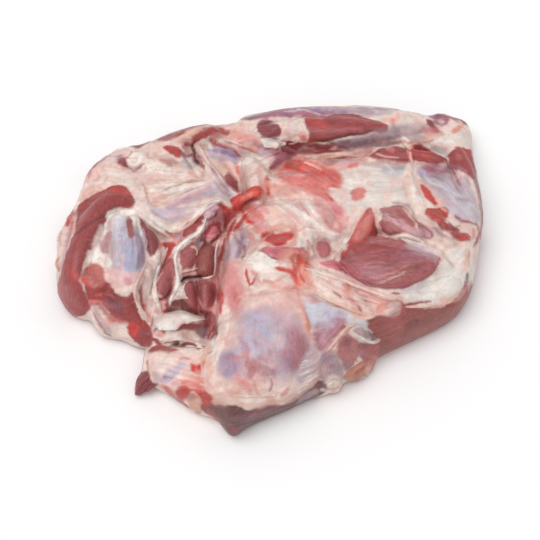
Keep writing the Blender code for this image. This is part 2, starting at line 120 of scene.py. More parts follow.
class Tissue(Enum):
    """The tissues of the cut: colour in sRGB steps, and feel. DEEP, BLACK and FRONT are painted shade, and
    DARK is painted shade where it lines creases and folds.
    """

    CREAM = ((231, 209, 199), Feel.FAT)
    WHITE = ((242, 234, 226), Feel.FAT)
    BLUSH = ((230, 195, 186), Feel.FAT)
    PEACH = ((230, 187, 168), Feel.FAT)
    BEIGE = ((200, 154, 136), Feel.FAT)
    TAN = ((182, 126, 106), Feel.FAT)
    SALMON = ((220, 150, 136), Feel.FAT)
    WASH = ((212, 120, 112), Feel.FAT)
    PINK_WASH = ((220, 158, 156), Feel.FAT)
    FASCIA = ((219, 213, 206), Feel.SKIN)
    ICE = ((204, 202, 213), Feel.SKIN)
    BLUE = ((172, 172, 198), Feel.SKIN)
    LILAC = ((188, 172, 193), Feel.SKIN)
    DOVE = ((190, 169, 176), Feel.SKIN)
    ORCHID = ((209, 169, 180), Feel.SKIN)
    PURPLE = ((150, 121, 153), Feel.SKIN)
    GREY = ((197, 188, 187), Feel.SKIN)
    PLUM = ((138, 110, 120), Feel.SKIN)
    SLATE = ((96, 84, 106), Feel.SKIN)
    MAUVE = ((165, 105, 120), Feel.MUSCLE)
    WINE = ((128, 74, 86), Feel.MUSCLE)
    BURGUNDY = ((135, 64, 70), Feel.MUSCLE)
    ROSE = ((198, 108, 118), Feel.MUSCLE)
    RUSSET = ((163, 88, 89), Feel.MUSCLE)
    RED = ((155, 66, 65), Feel.MUSCLE)
    BRICK = ((178, 68, 62), Feel.MUSCLE)
    BLOOD = ((203, 72, 66), Feel.MUSCLE)
    BRIGHT_RED = ((184, 56, 51), Feel.MUSCLE)
    BLOOD_ORANGE = ((228, 100, 80), Feel.FAT)
    BROWN = ((146, 76, 70), Feel.MUSCLE)
    # DARK is a dark red; where it lines creases, folds and the lower edges of raised parts it is painted
    # shade.
    DARK = ((112, 56, 52), Feel.MUSCLE)
    # Painted shade: FRONT is the red of the front wall, darkened as that wall looks turned away from the
    # light.
    FRONT = ((104, 64, 60), Feel.MUSCLE)
    # Painted shade: DEEP and BLACK darken crevices, slits and notches.
    DEEP = ((82, 42, 38), Feel.GAP)
    BLACK = ((58, 34, 28), Feel.GAP)

    @property
    def colour(self) -> np.ndarray:
        """Linear colour of the tissue."""
        share = np.array(self.value[0]) / 255
        return np.where(share <= 0.04045, share / 12.92, ((share + 0.055) / 1.055) ** 2.4)

    @property
    def feel(self) -> np.ndarray:
        """Weights of muscle, fat and skin."""
        return np.array(self.value[1].value[0])

    @property
    def edge(self) -> float:
        """How wide the edge of a patch of it fades."""
        return self.value[1].value[1]


def points_of(text: str) -> np.ndarray:
    """Reads "u,v u,v", points in picture steps, into one row a point."""
    return np.array([[float(step) for step in pair.split(",")] for pair in text.split()])


def rows_in(text: str) -> list[tuple[list[str], str]]:
    """Parts rows like "white 3 60%: 1,2 3,4".

    Args:
        text: the rows. One that starts with a digit goes on with the one above.

    Returns:
        The words of each row, and the text of its points.
    """
    rows = [row.partition(":") for row in re.sub(r"\n(?=\d)", " ", text).strip().splitlines()]
    return [(words.split(), points) for words, _, points in rows]


def smooth_line(knots: np.ndarray, closed: bool, parts: int = 3) -> np.ndarray:
    """Draws a smooth line through points.

    Args:
        knots: the points, one row each.
        closed: whether the last one joins the first.
        parts: how many steps lie between two of them.

    Returns:
        The points of the smooth line.
    """
    count = len(knots)
    if count < 3:
        return knots
    share = (np.arange(parts) / parts)[:, None]
    line = []
    for here in range(count if closed else count - 1):
        order = [here - 1, here, here + 1, here + 2]
        order = [place % count if closed else min(max(place, 0), count - 1) for place in order]
        before, start, end, after = (knots[place] for place in order)
        line.append(
            start
            + 0.5 * share * (end - before)
            + share**2 * (before - 2.5 * start + 2 * end - 0.5 * after)
            + share**3 * (1.5 * start - 0.5 * before - 1.5 * end + 0.5 * after)
        )
    rows = np.concatenate(line)
    return rows if closed else np.concatenate([rows, knots[-1:]])


def near_line(at: np.ndarray, line: np.ndarray) -> tuple[np.ndarray, np.ndarray]:
    """Finds how far points lie from a line, and how far along it.

    Args:
        at: the points, one row each.
        line: the line's points in order.

    Returns:
        Distance to the line, and the share of the way along it.
    """
    distance = np.full(len(at), np.inf)
    along = np.zeros(len(at))
    last = max(len(line) - 1, 1)
    for step in range(len(line) - 1):
        span = line[step + 1] - line[step]
        length = max(float(span @ span), TINY)
        share = np.clip((at - line[step]) @ span / length, 0, 1)
        gap = np.linalg.norm(at - line[step] - share[:, None] * span, axis=1)
        closer = gap < distance
        distance = np.where(closer, gap, distance)
        along = np.where(closer, (step + share) / last, along)
    return distance, along


def between(rows: np.ndarray, place: np.ndarray) -> np.ndarray:
    """Reads rows at places that count from 0 at the first row, blended between two rows."""
    return np.stack([np.interp(place, np.arange(len(rows)), column) for column in rows.T], axis=1)


def unit(rows: np.ndarray) -> np.ndarray:
    """Brings rows to the length 1."""
    return rows / (np.linalg.norm(rows, axis=1, keepdims=True) + TINY)


def ramp(value: np.ndarray, low: float, high: float) -> np.ndarray:
    """Rises smoothly from 0 at low to 1 at high."""
    share = np.clip((value - low) / (high - low), 0, 1)
    return share * share * (3 - 2 * share)


def noise(at: np.ndarray, size: float, seed: int) -> np.ndarray:
    """Smooth noise from -1 to 1.

    Args:
        at: the points, one row each.
        size: how wide one lump is, in the points' unit.
        seed: which noise.

    Returns:
        One value a point.
    """
    place = at / size
    cell = np.floor(place).astype(np.int64)
    part = place - cell
    part = part * part * (3 - 2 * part)
    total = np.zeros(len(at))
    for corner in product((0, 1), repeat=3):
        spots = (cell + corner) * CELL_FACTORS
        mixed = spots[:, 0] ^ spots[:, 1] ^ spots[:, 2] ^ seed * SEED_FACTOR
        mixed = ((mixed ^ (mixed >> 13)) * LAST_FACTOR) & 0xFFFFFF
        weight = np.where(corner, part, 1 - part).prod(axis=1)
        total += weight * ((mixed >> 8) / 32767.5 - 1)
    return total


def layered(at: np.ndarray, layers: Layers, columns: int = 1) -> np.ndarray:
    """Adds up noises.

    Args:
        at: the points, one row each.
        layers: the noises.
        columns: how many values a point gets, each from the seeds after the last one's.

    Returns:
        One row a point.
    """
    made = [
        sum(strength * noise(at, size, seed + column) for strength, size, seed in layers)
        for column in range(columns)
    ]
    return np.stack(made, axis=1)


def comb(at: np.ndarray, angle: float) -> np.ndarray:
    """Noise drawn out along the fibres, which frays the edge of a mark.

    Args:
        at: places in picture steps, one row each.
        angle: which way the fibres run, in degrees anticlockwise from the right.

    Returns:
        One value from -1 to 1 a place.
    """
    turn = math.radians(angle)
    along = at[:, 0] * math.cos(turn) - at[:, 1] * math.sin(turn)
    across = at[:, 0] * math.sin(turn) + at[:, 1] * math.cos(turn)
    rows = np.stack([along / COMB_TOOTH[0], across / COMB_TOOTH[1], np.zeros(len(at))], axis=1)
    return layered(rows, COMB_LAYERS)[:, 0]


@dataclass(frozen=True)
class PhotoView:
    """The photograph's viewpoint.

    Attributes:
        tilt: how far the camera looks down, in degrees.
        distance: from the aim to the camera, in metres.
        aim: the point in the middle of the picture, in metres.
        steps: the picture's width in steps.
        meat_steps: the meat's width in the picture, in steps.
        meat_width: the same width as a real size, in metres.
        film: the camera's film width, in millimetres.
    """

    tilt: float = 55.0
    distance: float = 2.0
    aim: tuple[float, float, float] = (-0.0015, -0.0181, 0.035)
    steps: int = 540
    meat_steps: int = 427
    meat_width: float = 0.440
    film: float = 36.0

    @property
    def step(self) -> float:
        """Real size of one picture step at the aim."""
        return self.meat_width / self.meat_steps

    @property
    def back(self) -> np.ndarray:
        """Direction from the aim to the camera."""
        tilt = math.radians(self.tilt)
        return np.array([0.0, -math.cos(tilt), math.sin(tilt)])

    @property
    def up(self) -> np.ndarray:
        """Direction of the picture's upper edge."""
        tilt = math.radians(self.tilt)
        return np.array([0.0, math.sin(tilt), math.cos(tilt)])

    @property
    def eye(self) -> np.ndarray:
        """The camera's place."""
        return np.array(self.aim) + self.back * self.distance

    def picture(self, at: np.ndarray) -> np.ndarray:
        """Projects points to picture steps.

        Args:
            at: points in metres, one row each.

        Returns:
            Their places in the picture, one row each.
        """
        offset = at - np.array(self.aim)
        nearer = self.distance / (self.distance - offset @ self.back) / self.step
        middle = self.steps / 2
        return np.stack([middle + offset[:, 0] * nearer, middle - offset @ self.up * nearer], axis=1)

    def ray(self, u: float, v: float) -> tuple[Vector, Vector]:
        """Finds the line of sight through a picture point.

        Args:
            u: steps from the left edge.
            v: steps from the top edge.

        Returns:
            The camera's place and the direction of sight.
        """
        middle = self.steps / 2
        target = np.array(self.aim) + np.array([1.0, 0, 0]) * (u - middle) * self.step
        target = target - self.up * (v - middle) * self.step
        return Vector(self.eye), Vector(target - self.eye).normalized()

    def place_camera(self) -> None:
        """Adds the camera and makes it the scene's own."""
        data = bpy.data.cameras.new("photo_camera")
        data.sensor_width = self.film
        data.lens = self.film * self.distance / (self.steps * self.step)
        camera = bpy.data.objects.new("photo_camera", data)
        camera.location = Vector(self.eye)
        camera.rotation_euler = Vector(-self.back).to_track_quat("-Z", "Y").to_euler()
        bpy.context.scene.collection.objects.link(camera)
        bpy.context.scene.camera = camera


VIEW = PhotoView()


@dataclass(frozen=True)
class Mark:
    """A tissue on a part of the meat; some marks are painted shade, painted highlights and paler paint that
    lifts shaded places.

    Attributes:
        tissue: what it is.
        knots: the points of its outline or line, in picture steps.
        soft: how wide its edge fades, in steps, where it isn't as wide as its kind's.
        cover: how much of what is below it hides.
        rise: how far it stands off the meat, in millimetres.
        grain: which way its fibres run, in degrees anticlockwise from the right.
    """

    tissue: Tissue
    knots: np.ndarray
    soft: float | None = None
    cover: float = 1.0
    rise: float = 0.0
    grain: float | None = None

    @staticmethod
    def near(at: np.ndarray, line: np.ndarray, reach: float) -> np.ndarray:
        """Picks the points that lie in reach of a line's box."""
        return np.flatnonzero(np.all((at > line.min(0) - reach) & (at < line.max(0) + reach), axis=1))

    def strength(self, at: np.ndarray) -> tuple[np.ndarray, np.ndarray]:
        """Weighs the mark at points.

        Args:
            at: the points, in picture steps.

        Returns:
            Which points it reaches, and its share at those.
        """
        raise NotImplementedError


@dataclass(frozen=True)
class Patch(Mark):
    """A tissue inside a closed outline."""

    @cached_property
    def ring(self) -> np.ndarray:
        """Smooth outline, closed."""
        line = smooth_line(self.knots, closed=True)
        return np.concatenate([line, line[:1]])

    def strength(self, at: np.ndarray) -> tuple[np.ndarray, np.ndarray]:
        """Weighs the patch at points.

        Args:
            at: the points, in picture steps.

        Returns:
            Which points it reaches, and its share at those.
        """
        ring = self.ring
        soft = self.tissue.edge if self.soft is None else self.soft
        near = self.near(at, ring, soft + COMB + 1)
        spots = at[near]
        distance, _ = near_line(spots, ring)
        inside = np.zeros(len(spots), dtype=bool)
        for start, end in zip(ring[:-1], ring[1:]):
            width, height = end - start
            crosses = (start[1] > spots[:, 1]) != (end[1] > spots[:, 1])
            inside ^= crosses & (spots[:, 0] < width * (spots[:, 1] - start[1]) / (height or TINY) + start[0])
        depth = np.where(inside, distance, -distance) + COMB * comb(spots, self.grain or 0.0)
        return near, ramp(depth, -soft / 2, soft / 2)


@dataclass(frozen=True)
class Brush(Mark):
    """A tissue along a line, widest in the middle.

    Attributes:
        half: half its width, in steps.
    """

    half: float = 1.0

    @cached_property
    def path(self) -> np.ndarray:
        """Smooth line."""
        return smooth_line(self.knots, closed=False)

    def strength(self, at: np.ndarray) -> tuple[np.ndarray, np.ndarray]:
        """Weighs the stroke at points.

        Args:
            at: the points, in picture steps.

        Returns:
            Which points it reaches, and its share at those.
        """
        soft = STROKE_SOFT + STROKE_SOFTER * self.half if self.soft is None else self.soft
        near = self.near(at, self.path, self.half + soft + COMB + 1)
        distance, along = near_line(at[near], self.path)
        half = self.half * (1 - STROKE_ENDS * np.abs(2 * along - 1) ** 3)
        fray = min(COMB, STROKE_FRAY * self.half) * comb(at[near], self.grain or 0.0)
        return near, ramp(half - distance + fray, -soft / 2, soft / 2)


@dataclass(frozen=True)
class Region:
    """A stretch of the meat and the marks on it, from the lowest to the top one.

    A row names a tissue, then "patch", half a brush's width, or "fan" with a count and half a width. Its
    cover follows as 60%, its soft edge as ~4, its rise as +0.8 or -1 and its grain as @55, where it has
    them, and the points come after a colon. A fan has two lines of as many points, parted by a bar, and its
    strokes lie between them.

    Attributes:
        name: what the stretch is.
        grain: which way the fibres run, in degrees anticlockwise from the right.
        rows: the marks in words.
    """

    name: str
    grain: float
    rows: str

    @cached_property
    def marks(self) -> tuple[Mark, ...]:
        """The marks that the rows name."""
        made: list[Mark] = []
        for (name, kind, *rest), points in rows_in(self.rows):
            tissue = Tissue[name.upper()]
            if kind == "patch":
                made.append(Patch(tissue, points_of(points), **self.options(rest)))
            elif kind == "fan":
                made += self.fan(tissue, int(rest[0]), float(rest[1]), points, self.options(rest[2:]))
            else:
                made.append(Brush(tissue, points_of(points), half=float(kind), **self.options(rest)))
        return tuple(made)

    @staticmethod
    def options(words: list[str]) -> dict[str, float]:
        """Reads the values that a row gives with a sign.

        Args:
            words: the values, each with its sign.

        Returns:
            The values by their names in a mark.
        """
        values: dict[str, float] = {}
        for word in words:
            number = float(word.strip("~@%"))
            if word.endswith("%"):
                values["cover"] = number / 100
            else:
                values[{"~": "soft", "@": "grain"}.get(word[0], "rise")] = number
        return values

    @staticmethod
    def fan(tissue: Tissue, count: int, half: float, points: str, options: dict[str, float]) -> list[Mark]:
        """Spreads strokes between two lines, each a little off its place.

        Args:
            tissue: what they are.
            count: how many.
            half: half the width of one, in steps.
            points: the two lines.
            options: the strokes' other values.

        Returns:
            The strokes.
        """
        first, last = (smooth_line(points_of(side), closed=False) for side in points.split("|"))
        draws = np.random.default_rng(len(points) + count)
        strokes: list[Mark] = []
        for share in (np.arange(count) + 0.5) / count:
            share += draws.uniform(-FAN_STRAY, FAN_STRAY) / count
            start = int(draws.uniform(0, FAN_SHORT) * len(first))
            end = len(first) - int(draws.uniform(0, FAN_SHORT) * len(first))
            line = ((1 - share) * first + share * last)[start:end]
            strokes.append(Brush(tissue, line[::2], half=half * draws.uniform(*FAN_WIDTHS), **options))
        return strokes


REGIONS = (
    Region(
        "neck",
        10.0,
        # Painted highlight: the white stroke at 132,154 to 130,161 lights the top of a round fat lump, over
        # its white fat.
        # Painted light: the white stroke at 136,208 to 180,231 is paler than the fat there, to lift the
        # shadow of the wall beside it.
        # Painted shade: the deep stroke at 196,142 and the dark one at 184,146 darken the crevice.
        # Painted shade: the plum stroke at 180,154 to 192,155 shades the side of the crevice.
        # Painted shade: the thin mauve stroke at 130,168 to 145,163 darkens a crease.
        """
cream patch: 88,170 98,162 112,152 134,146 158,140 180,140 190,150 200,166 214,176 226,190 224,200
214,206 206,216 196,226 180,232 166,232 156,228 146,222 136,212 134,200 130,190 120,184 108,186 96,192
84,198 82,190
blush 7 60%: 150,148 164,148 180,142
fascia 6 50%: 124,176 138,174
blush 8 35%: 154,176 176,172 196,170
white 5 60%: 146,170 164,168 184,172
white fan 8 1 50%: 148,172 172,174 200,168 | 150,200 178,194 208,184
tan fan 6 0.5 35%: 146,176 172,178 200,172 | 152,204 178,198 208,186
white fan 5 1.2 50%: 98,168 120,172 140,172 | 92,190 116,186 138,190
salmon fan 4 0.6 40%: 100,164 118,168 136,170 | 96,186 116,182 136,188
mauve 2: 88,176 91,168 98,163 108,156 114,151
orchid 3 80%: 106,158 114,154 120,158 112,162
burgundy 1.6: 134,147 138,148 143,145 149,143
red 3: 158,141 168,138 180,134 190,128 202,124 208,123
wine 1.2 70%: 152,142 168,136 184,129 200,123
blush 3.5 +1.5: 113,153 121,150 130,149 134,152
burgundy patch ~3 -1: 118,157 124,156 128,158 128,165 130,169 124,167 117,164
white 4.5 +1.8: 132,154 138,158 136,164 130,161
mauve 1 -1.2: 130,168 134,171 139,169 141,168 142,165 145,163
tan 0.9 80%: 127,157 131,154 134,152
peach 4.5 90%: 83,196 88,190 96,190 102,190
salmon 4 40%: 88,180 94,172 102,170
salmon 1.5 90%: 93,180 96,180 99,176 97,174
tan 1.2 50%: 104,186 106,180 108,178
brick patch ~2: 163,148 168,145 176,147 180,150 181,156 175,157 169,153
russet 2.4 ~3 80%: 160,160 166,162 172,166
grey 4: 182,162 188,160 192,164 186,166
plum 1.6: 180,154 186,156 192,155
deep 2.6 -2.5: 196,142 194,150 194,158 198,163
peach patch +1: 180,137 186,132 196,128 204,127 200,132 190,138 182,141 178,141
dark 2 80% -1: 184,146 190,146 194,150
tan 1 80% -0.8: 164,190 172,187 182,183 196,180 206,179
white 1.4 80% +0.8: 162,194 174,192 186,188 204,183
tan 1.1 80% -0.8: 142,182 145,190 148,198 150,203
blush 3: 150,198 158,196 166,197
salmon 1 60% -0.6: 152,203 162,203 176,200 184,196
orchid 4.5: 168,208 182,201 194,195 206,190 218,184
ice 3 70%: 184,205 196,199 208,194 222,190
white 1 60% +0.5: 182,198 194,191 206,187
mauve 0.9 50% -0.4: 178,196 190,190 202,186 212,182
ice patch ~6 70%: 213,180 220,177 228,185 236,193 234,198 226,200 217,196 212,188
plum 1.2 45%: 214,182 222,190 230,197
lilac patch ~4 75%: 150,208 160,208 172,207 186,209 197,208 193,214 183,218 172,222 162,220
155,215
purple 1.6 60%: 151,210 157,216 166,220
white 4 +1.6: 136,208 144,216 154,224 166,229 180,231
tan 1 70%: 137,213 142,217 148,222
white 3 +0.8: 180,230 190,224 198,215 208,207 220,201
blush 3 80%: 184,215 192,211
salmon 1.8: 166,230 169,233 171,238
peach 2: 173,230 178,229
brown 5 ~4 70%: 183,144 188,150 193,157
beige 4 ~6 55%: 162,160 172,163 182,166
russet 1.8 ~3 50%: 122,156 130,158
beige 0.8 ~1 80%: 132,157 136,158 137,161 134,163 132,161
russet 3 ~4 50%: 160,158 168,160 176,163
russet 3 ~4 50%: 178,143 186,140
""",
    ),
    Region(
        "pocket",
        -20.0,
        # Painted highlight: the white stroke at 216,140 to 236,142.
        # Painted shade: the plum stroke at 203,152 to 217,174 shades the side of the ridge.
        """
blush patch: 206,126 220,122 236,120 250,118 262,121 262,138 284,138 288,150 276,166 262,176
262,188 244,192 238,196 224,178 210,166 200,152 197,143 206,140 214,136
cream 4: 230,124 240,122 250,122 256,128 259,135
salmon 5 50%: 212,137 226,136 240,130
red 4.6: 186,145 196,139 206,133 216,130 228,132
brick 2.6 ~4: 200,137 212,131 222,130
salmon fan 6 0.8 60%: 232,122 246,124 258,134 | 234,134 246,138 256,146
salmon patch ~5 85%: 236,137 250,134 262,139 262,146 257,152 250,154 242,149 236,143
blush fan 6 1.1 ~2 60%: 236,140 246,138 258,136 | 240,150 250,152 260,146
wash fan 5 0.8 60%: 230,128 244,132 260,140 | 234,146 246,152 258,150
white 1.4 ~3 80%: 240,134 250,132 258,136
salmon 3 70%: 231,136 238,134 246,136
brick 2.5 80%: 208,139 212,142
white 1.6 +1: 216,140 226,140 236,142
lilac patch -0.5: 209,146 222,146 236,151 241,159 236,162 224,162 213,159 208,152
russet 2 ~3: 211,144 222,145 234,149 240,156
purple 3: 214,150 226,152 236,157
dove 2.6: 212,156 220,158 226,160
orchid 1.8: 238,148 243,154 245,159
mauve 0.9 -0.8: 240,146 248,150 256,153
blush 2.6 +1.2: 197,145 202,152 206,160 212,168 219,176 224,183
white 3.5 +0.8: 200,143 207,142 212,148
plum 1 80% -0.8: 203,152 208,160 213,168 217,174
russet 2: 198,154 200,161 204,168
peach 2.6: 216,163 224,166 232,170
russet patch ~3: 224,175 228,172 233,177 237,183 240,191 235,193 230,188 226,182
blood_orange 2.4 ~3 90%: 236,167 238,174
cream patch: 240,160 250,156 262,158 270,164 268,172 262,176 261,187 252,190 243,188 242,178
fascia 2.4 80%: 243,154 252,156 258,158
white 2.6: 240,164 248,164
white 2.6 80%: 264,162 268,168
blush patch +1.4: 262,141 270,139 281,138 282,143 276,148 270,148 264,145
dove patch: 262,148 268,145 274,150 272,156 264,158 258,156 256,152
mauve patch ~4: 272,152 282,147 290,149 297,154 290,160 280,165 273,171 269,168 275,160
red 2.2 70%: 276,156 284,153 292,154
mauve 3 70%: 212,168 220,180 228,190
plum 2 ~2 80%: 262,137 272,140 283,140 292,143
mauve 3 ~3 65%: 254,142 262,147 272,147
fascia fan 5 1 ~2 60%: 238,162 250,158 266,156 | 244,184 254,178 268,166
beige fan 6 0.6 50%: 240,166 254,160 270,162 | 246,188 258,180 270,168
salmon 2 ~3 50%: 256,172 262,166 268,164
russet 3 ~3 60%: 210,135 222,138 231,142
dove 4 ~6 50%: 200,177 212,175 222,181
mauve 2 ~3 60%: 198,154 203,162
plum 2.4 ~3 50%: 256,144 264,147 272,148
pink_wash 3 ~4 60%: 219,124 230,124
rose 2.4 ~3 70%: 208,140 217,142
brown 2.4 ~3 60%: 182,147 190,148
mauve 2.4 ~2 80%: 186,129 196,126 206,124
""",
    ),
    Region(
        "roll",
        -5.0,
        # Painted highlight: the dove stroke at 352,141 to 406,130 is a bluish-grey highlight on the band.
        # Painted shade: the dark stroke at 310,139 to 378,131 darkens the lower edge of the red muscle.
        # Painted shade: the plum stroke at 262,136 to 278,137 darkens the lower edge of the burgundy oval.
        """
cream 12: 240,124 262,120 290,124 330,120 380,120 420,120 460,132
plum 2.6: 240,119 258,116 276,112 292,109 310,107
mauve 3 ~4 85%: 256,118 276,113 300,110 326,111
purple 3: 282,113 304,111 326,111 346,113
dove 3: 330,109 360,110 390,112 408,114
mauve 2.4: 266,118 284,116 300,115 318,116 326,117
mauve 1.6: 280,116 300,113 320,113 336,114
white 0.9 60% +0.6: 284,112 298,110 310,111 320,114
purple 3 ~4 60%: 334,111 350,112 366,113 382,115
grey 2.4: 376,112 392,113 404,114
plum 0.9 50%: 300,106 330,107 360,108 386,110
burgundy patch: 257,124 263,120 271,121 279,125 281,130 279,136 270,139 262,136 258,131
plum 1.6: 262,136 270,139 278,137
orchid 1.4: 268,119 275,120 279,123
cream patch +0.8: 276,118 290,118 303,119 305,126 309,134 306,141 298,143 290,142 281,140 280,136
282,128 279,122
orchid 3.5 60%: 284,134 290,130
blush 1.4 ~2 50%: 270,119 278,120
red patch +1.8 @8: 304,119 312,118 322,119 332,115 345,114 360,116 372,120 384,124 388,128
384,131 370,132 350,134 334,138 320,142 308,143 309,134 305,126
brick 5 ~5: 308,122 317,122 324,126
dark 1.8: 310,139 326,140 342,136 360,133 378,131
peach 3.4: 386,121 394,118 400,120
wash 2.6: 393,119 395,125
cream 2: 372,118 386,117 398,114 410,113 420,113
plum 4.2: 334,144 350,144 366,141 380,138 396,135 412,133 424,133
plum 6.5 60%: 330,143 348,143 364,139 384,135 404,131 424,130
dove 2 ~3 70%: 352,141 370,137 390,134 406,130
slate fan 4 0.7 40%: 340,142 366,137 396,131 | 344,149 368,146 398,139
plum 2.6 80%: 356,147 375,145 400,142
white 0.8 70%: 334,140 346,138 356,137
burgundy 4.4: 283,143 292,146 304,148 318,148 332,147
burgundy 1.8: 286,143 296,145 308,143
plum 2.6: 336,149 346,149 356,148
burgundy 1.4 80%: 330,142 340,146 350,150
brick 1.4: 314,154 328,152 342,151
peach 1.6 +1: 304,157 318,158 332,156 348,154
cream patch: 396,121 410,116 424,114 430,118 436,127 444,126 450,122 462,122 469,128 471,140 471,150
460,148 450,150 440,157 430,150 418,142 404,140 398,132
grey 4 ~5 70%: 404,118 405,127
salmon 3 40%: 414,120 422,122
mauve patch: 428,116 434,112 442,113 449,117 450,122 444,126 436,124 432,119
wine 2.6: 434,114 441,116
orchid 2: 438,121 444,122
red 1.6: 444,116 454,119 462,122 469,126
salmon 2.6: 452,131 458,129 462,126
fascia 4 80%: 452,140 462,136 467,144
tan 1.4 50%: 438,136 444,134
peach 2: 420,138 432,138
white 2.2: 428,141 440,142 452,141
wash 1 70%: 412,141 424,143 434,140
grey 3.6: 432,149 442,152 448,156
plum 5 ~6 55%: 404,127 414,128 424,130 432,132
mauve 3.4 ~4 60%: 420,132 428,128 434,131
burgundy 3: 427,120 432,125 438,131
burgundy fan 6 0.7 45%: 306,122 340,117 386,126 | 310,141 344,137 382,131
rose fan 4 0.5 40%: 330,120 352,118 378,125 | 330,134 352,132 378,129
plum 7 ~8 65%: 396,128 408,134 422,138
wash 4 ~4 60%: 298,135 306,136
burgundy 3 ~4 60%: 298,152 314,152 330,150
brick 2.6 ~3 70%: 300,137 306,139
wash 4 ~5 50%: 424,131 434,134
rose 3 ~4 60%: 434,128 441,131
russet 3 ~4 60%: 430,129 440,132
""",
    ),
    Region(
        "blade",
        -35.0,
        # Painted shade: the plum stroke at 451,172 to 461,192 darkens the meat by the crevice.
        # Painted shadow: the plum stroke at 362,163 to 408,168 is the shade under the red patch.
        """
cream patch: 330,160 352,156 370,152 384,148 410,148 440,160 456,150 470,150 482,190 484,220 478,246
476,260 470,290 460,302 440,304 420,304 396,304 380,292 362,286 346,276 340,262 336,240 340,214 334,200
330,180
fascia patch 55%: 338,176 352,170 366,165 380,163 395,165 408,168 412,180 406,196 398,203 385,207
372,205 360,209 346,214 337,206 333,190
white fan 9 0.9 45%: 346,172 372,168 404,170 | 344,208 372,204 404,200
grey fan 6 0.6 40%: 346,170 372,166 406,172 | 346,208 372,204 404,198
grey 5: 384,170 396,172 404,170
ice 3 70%: 388,174 402,172
plum 3 ~4 55%: 362,163 378,165 392,167 408,168
peach 5 ~6 40%: 380,192 388,194 384,202
cream 0.9 60% +0.6: 384,163 392,169 400,175 405,183
white 1 60% +0.4: 346,180 362,176 380,178
blush 4.5 ~4 80%: 336,184 344,196 340,206
blood patch ~3 75%: 351,191 357,187 364,187 366,192 362,198 355,201 351,198
cream 5 +0.8: 411,166 409,178 412,190 418,200 424,208
white 3: 412,186 416,196 420,204
peach 2 70%: 405,186 407,198
dove patch @-38: 418,166 440,165 450,166 456,180 466,176 472,190 478,205 481,222 470,225
458,222 450,214 441,206 434,196 426,186 420,177
mauve 5 ~7: 424,168 436,169 447,171
plum 4 ~6 45%: 428,176 440,178 450,178
ice fan 8 0.8 50%: 424,178 440,190 456,208 470,222 | 456,166 466,182 474,198 480,212
plum fan 7 0.5 45%: 424,182 438,192 454,208 470,220 | 458,170 466,184 474,198 480,210
lilac 3: 418,171 424,176
ice 2 70%: 424,178 432,182
plum 1 60%: 430,176 442,180 452,186
fascia 0.8 70% +0.5: 428,182 444,188 460,196 474,206
orchid 3 ~4 50%: 452,186 462,184 468,190
mauve 1.5 60%: 456,199 462,199 470,200
ice 3.4 ~5 50%: 446,208 456,212 466,216
grey 3: 462,206 474,214
red patch +1.4 @-4: 368,157 376,151 384,147 394,146 402,148 409,152 410,158 408,164 396,162
384,160 374,159
wash 3: 388,149 394,152
dark 1.8: 402,149 407,150
blush 0.8 70%: 376,155 386,157 398,158
red patch +1.6 @-30: 410,147 416,143 422,145 430,150 438,156 447,161 440,163 428,163 418,161
411,160
brick 2.6 ~3: 412,154 420,153 430,157
mauve 1.3 60%: 416,163 430,165 446,164
wash 1.9 80% +1: 403,139 408,142 412,144 410,150 410,157 412,163
white 2.2 +0.8: 402,139 408,141
salmon patch 70%: 300,158 318,160 334,156 350,154 366,150 372,154 366,160 352,168 342,172 330,170
316,164
russet 2 70%: 316,161 328,163 342,162
plum 1.4 60%: 324,160 336,160 346,157
orchid 2 80%: 336,164 348,161 358,158
wash 1.8: 348,167 353,165 358,163
blush 1.4: 352,158 364,154 372,150
wine 1.2 -1.4: 445,159 450,167 455,175 459,184
plum 3 ~4 50%: 451,172 457,182 461,192
red patch +1.2 @-60: 448,158 450,152 455,149 454,146 463,147 470,150 472,158 475,168 476,177
474,181 470,178 464,172 458,170 451,168
bright_red 2.4: 462,150 468,154 470,162
salmon 2.4 ~5 40%: 457,155 461,159
mauve 1.8: 452,166 460,168 466,172
burgundy 2.8: 475,178 479,188 482,200 484,214 483,226 480,238
peach 5 70%: 424,186 432,196 440,206
blood patch: 420,186 424,185 430,191 435,199 438,204 433,205 427,199 422,192
brick patch +1.6: 425,211 430,208 436,209 443,208 448,212 447,219 442,224 436,221 430,218 426,215
brick 4 +1: 440,225 450,231 459,236 467,239
brick 3 +1: 436,219 441,224 447,228
salmon 1.6: 441,210 446,213
red patch +1.2: 439,226 444,223 450,224 453,228 450,232 443,232 440,229
red patch +1.2: 451,230 456,228 459,231 458,236 455,239 451,235
dark 0.9 -1: 452,229 457,226 460,225
brick patch +1.2: 458,236 462,234 468,234 470,238 467,242 461,240
cream 2.6: 452,222 458,224
blush 3.4: 460,228 468,228 474,234
salmon 1.6 80%: 470,240 474,236 474,228
russet 1.1: 455,216 462,220 470,222 477,225
red 2: 476,224 480,231 478,240 474,246
plum 1.6 ~3 60%: 432,228 442,235 454,240
russet patch 90% +1.4 @-32: 380,208 392,206 402,206 411,215 419,223 428,229 435,236
430,239 420,238 410,235 400,233 392,236 384,232 377,226 382,219 380,212
russet fan 6 0.9 70%: 382,210 396,214 412,224 428,234 | 380,226 390,232 404,234 420,238
blush fan 4 0.6 50%: 382,212 398,216 414,226 430,236 | 384,222 396,228 410,234 424,238
orchid 3.2 ~4 55%: 400,222 410,230 422,236
russet patch ~4 85%: 378,224 386,222 396,228 402,233 393,238 384,234
russet 3: 396,211 404,218 412,225
peach 0.9 +0.8: 403,209 409,215 414,222 417,229
plum 1.4 ~3 70% -0.8: 393,202 401,203 408,207 413,214 417,220
orchid 1.4 80%: 384,214 390,220 400,226
mauve 1.6 60%: 418,222 428,228 434,234
orchid 3 80%: 412,232 422,233 430,237
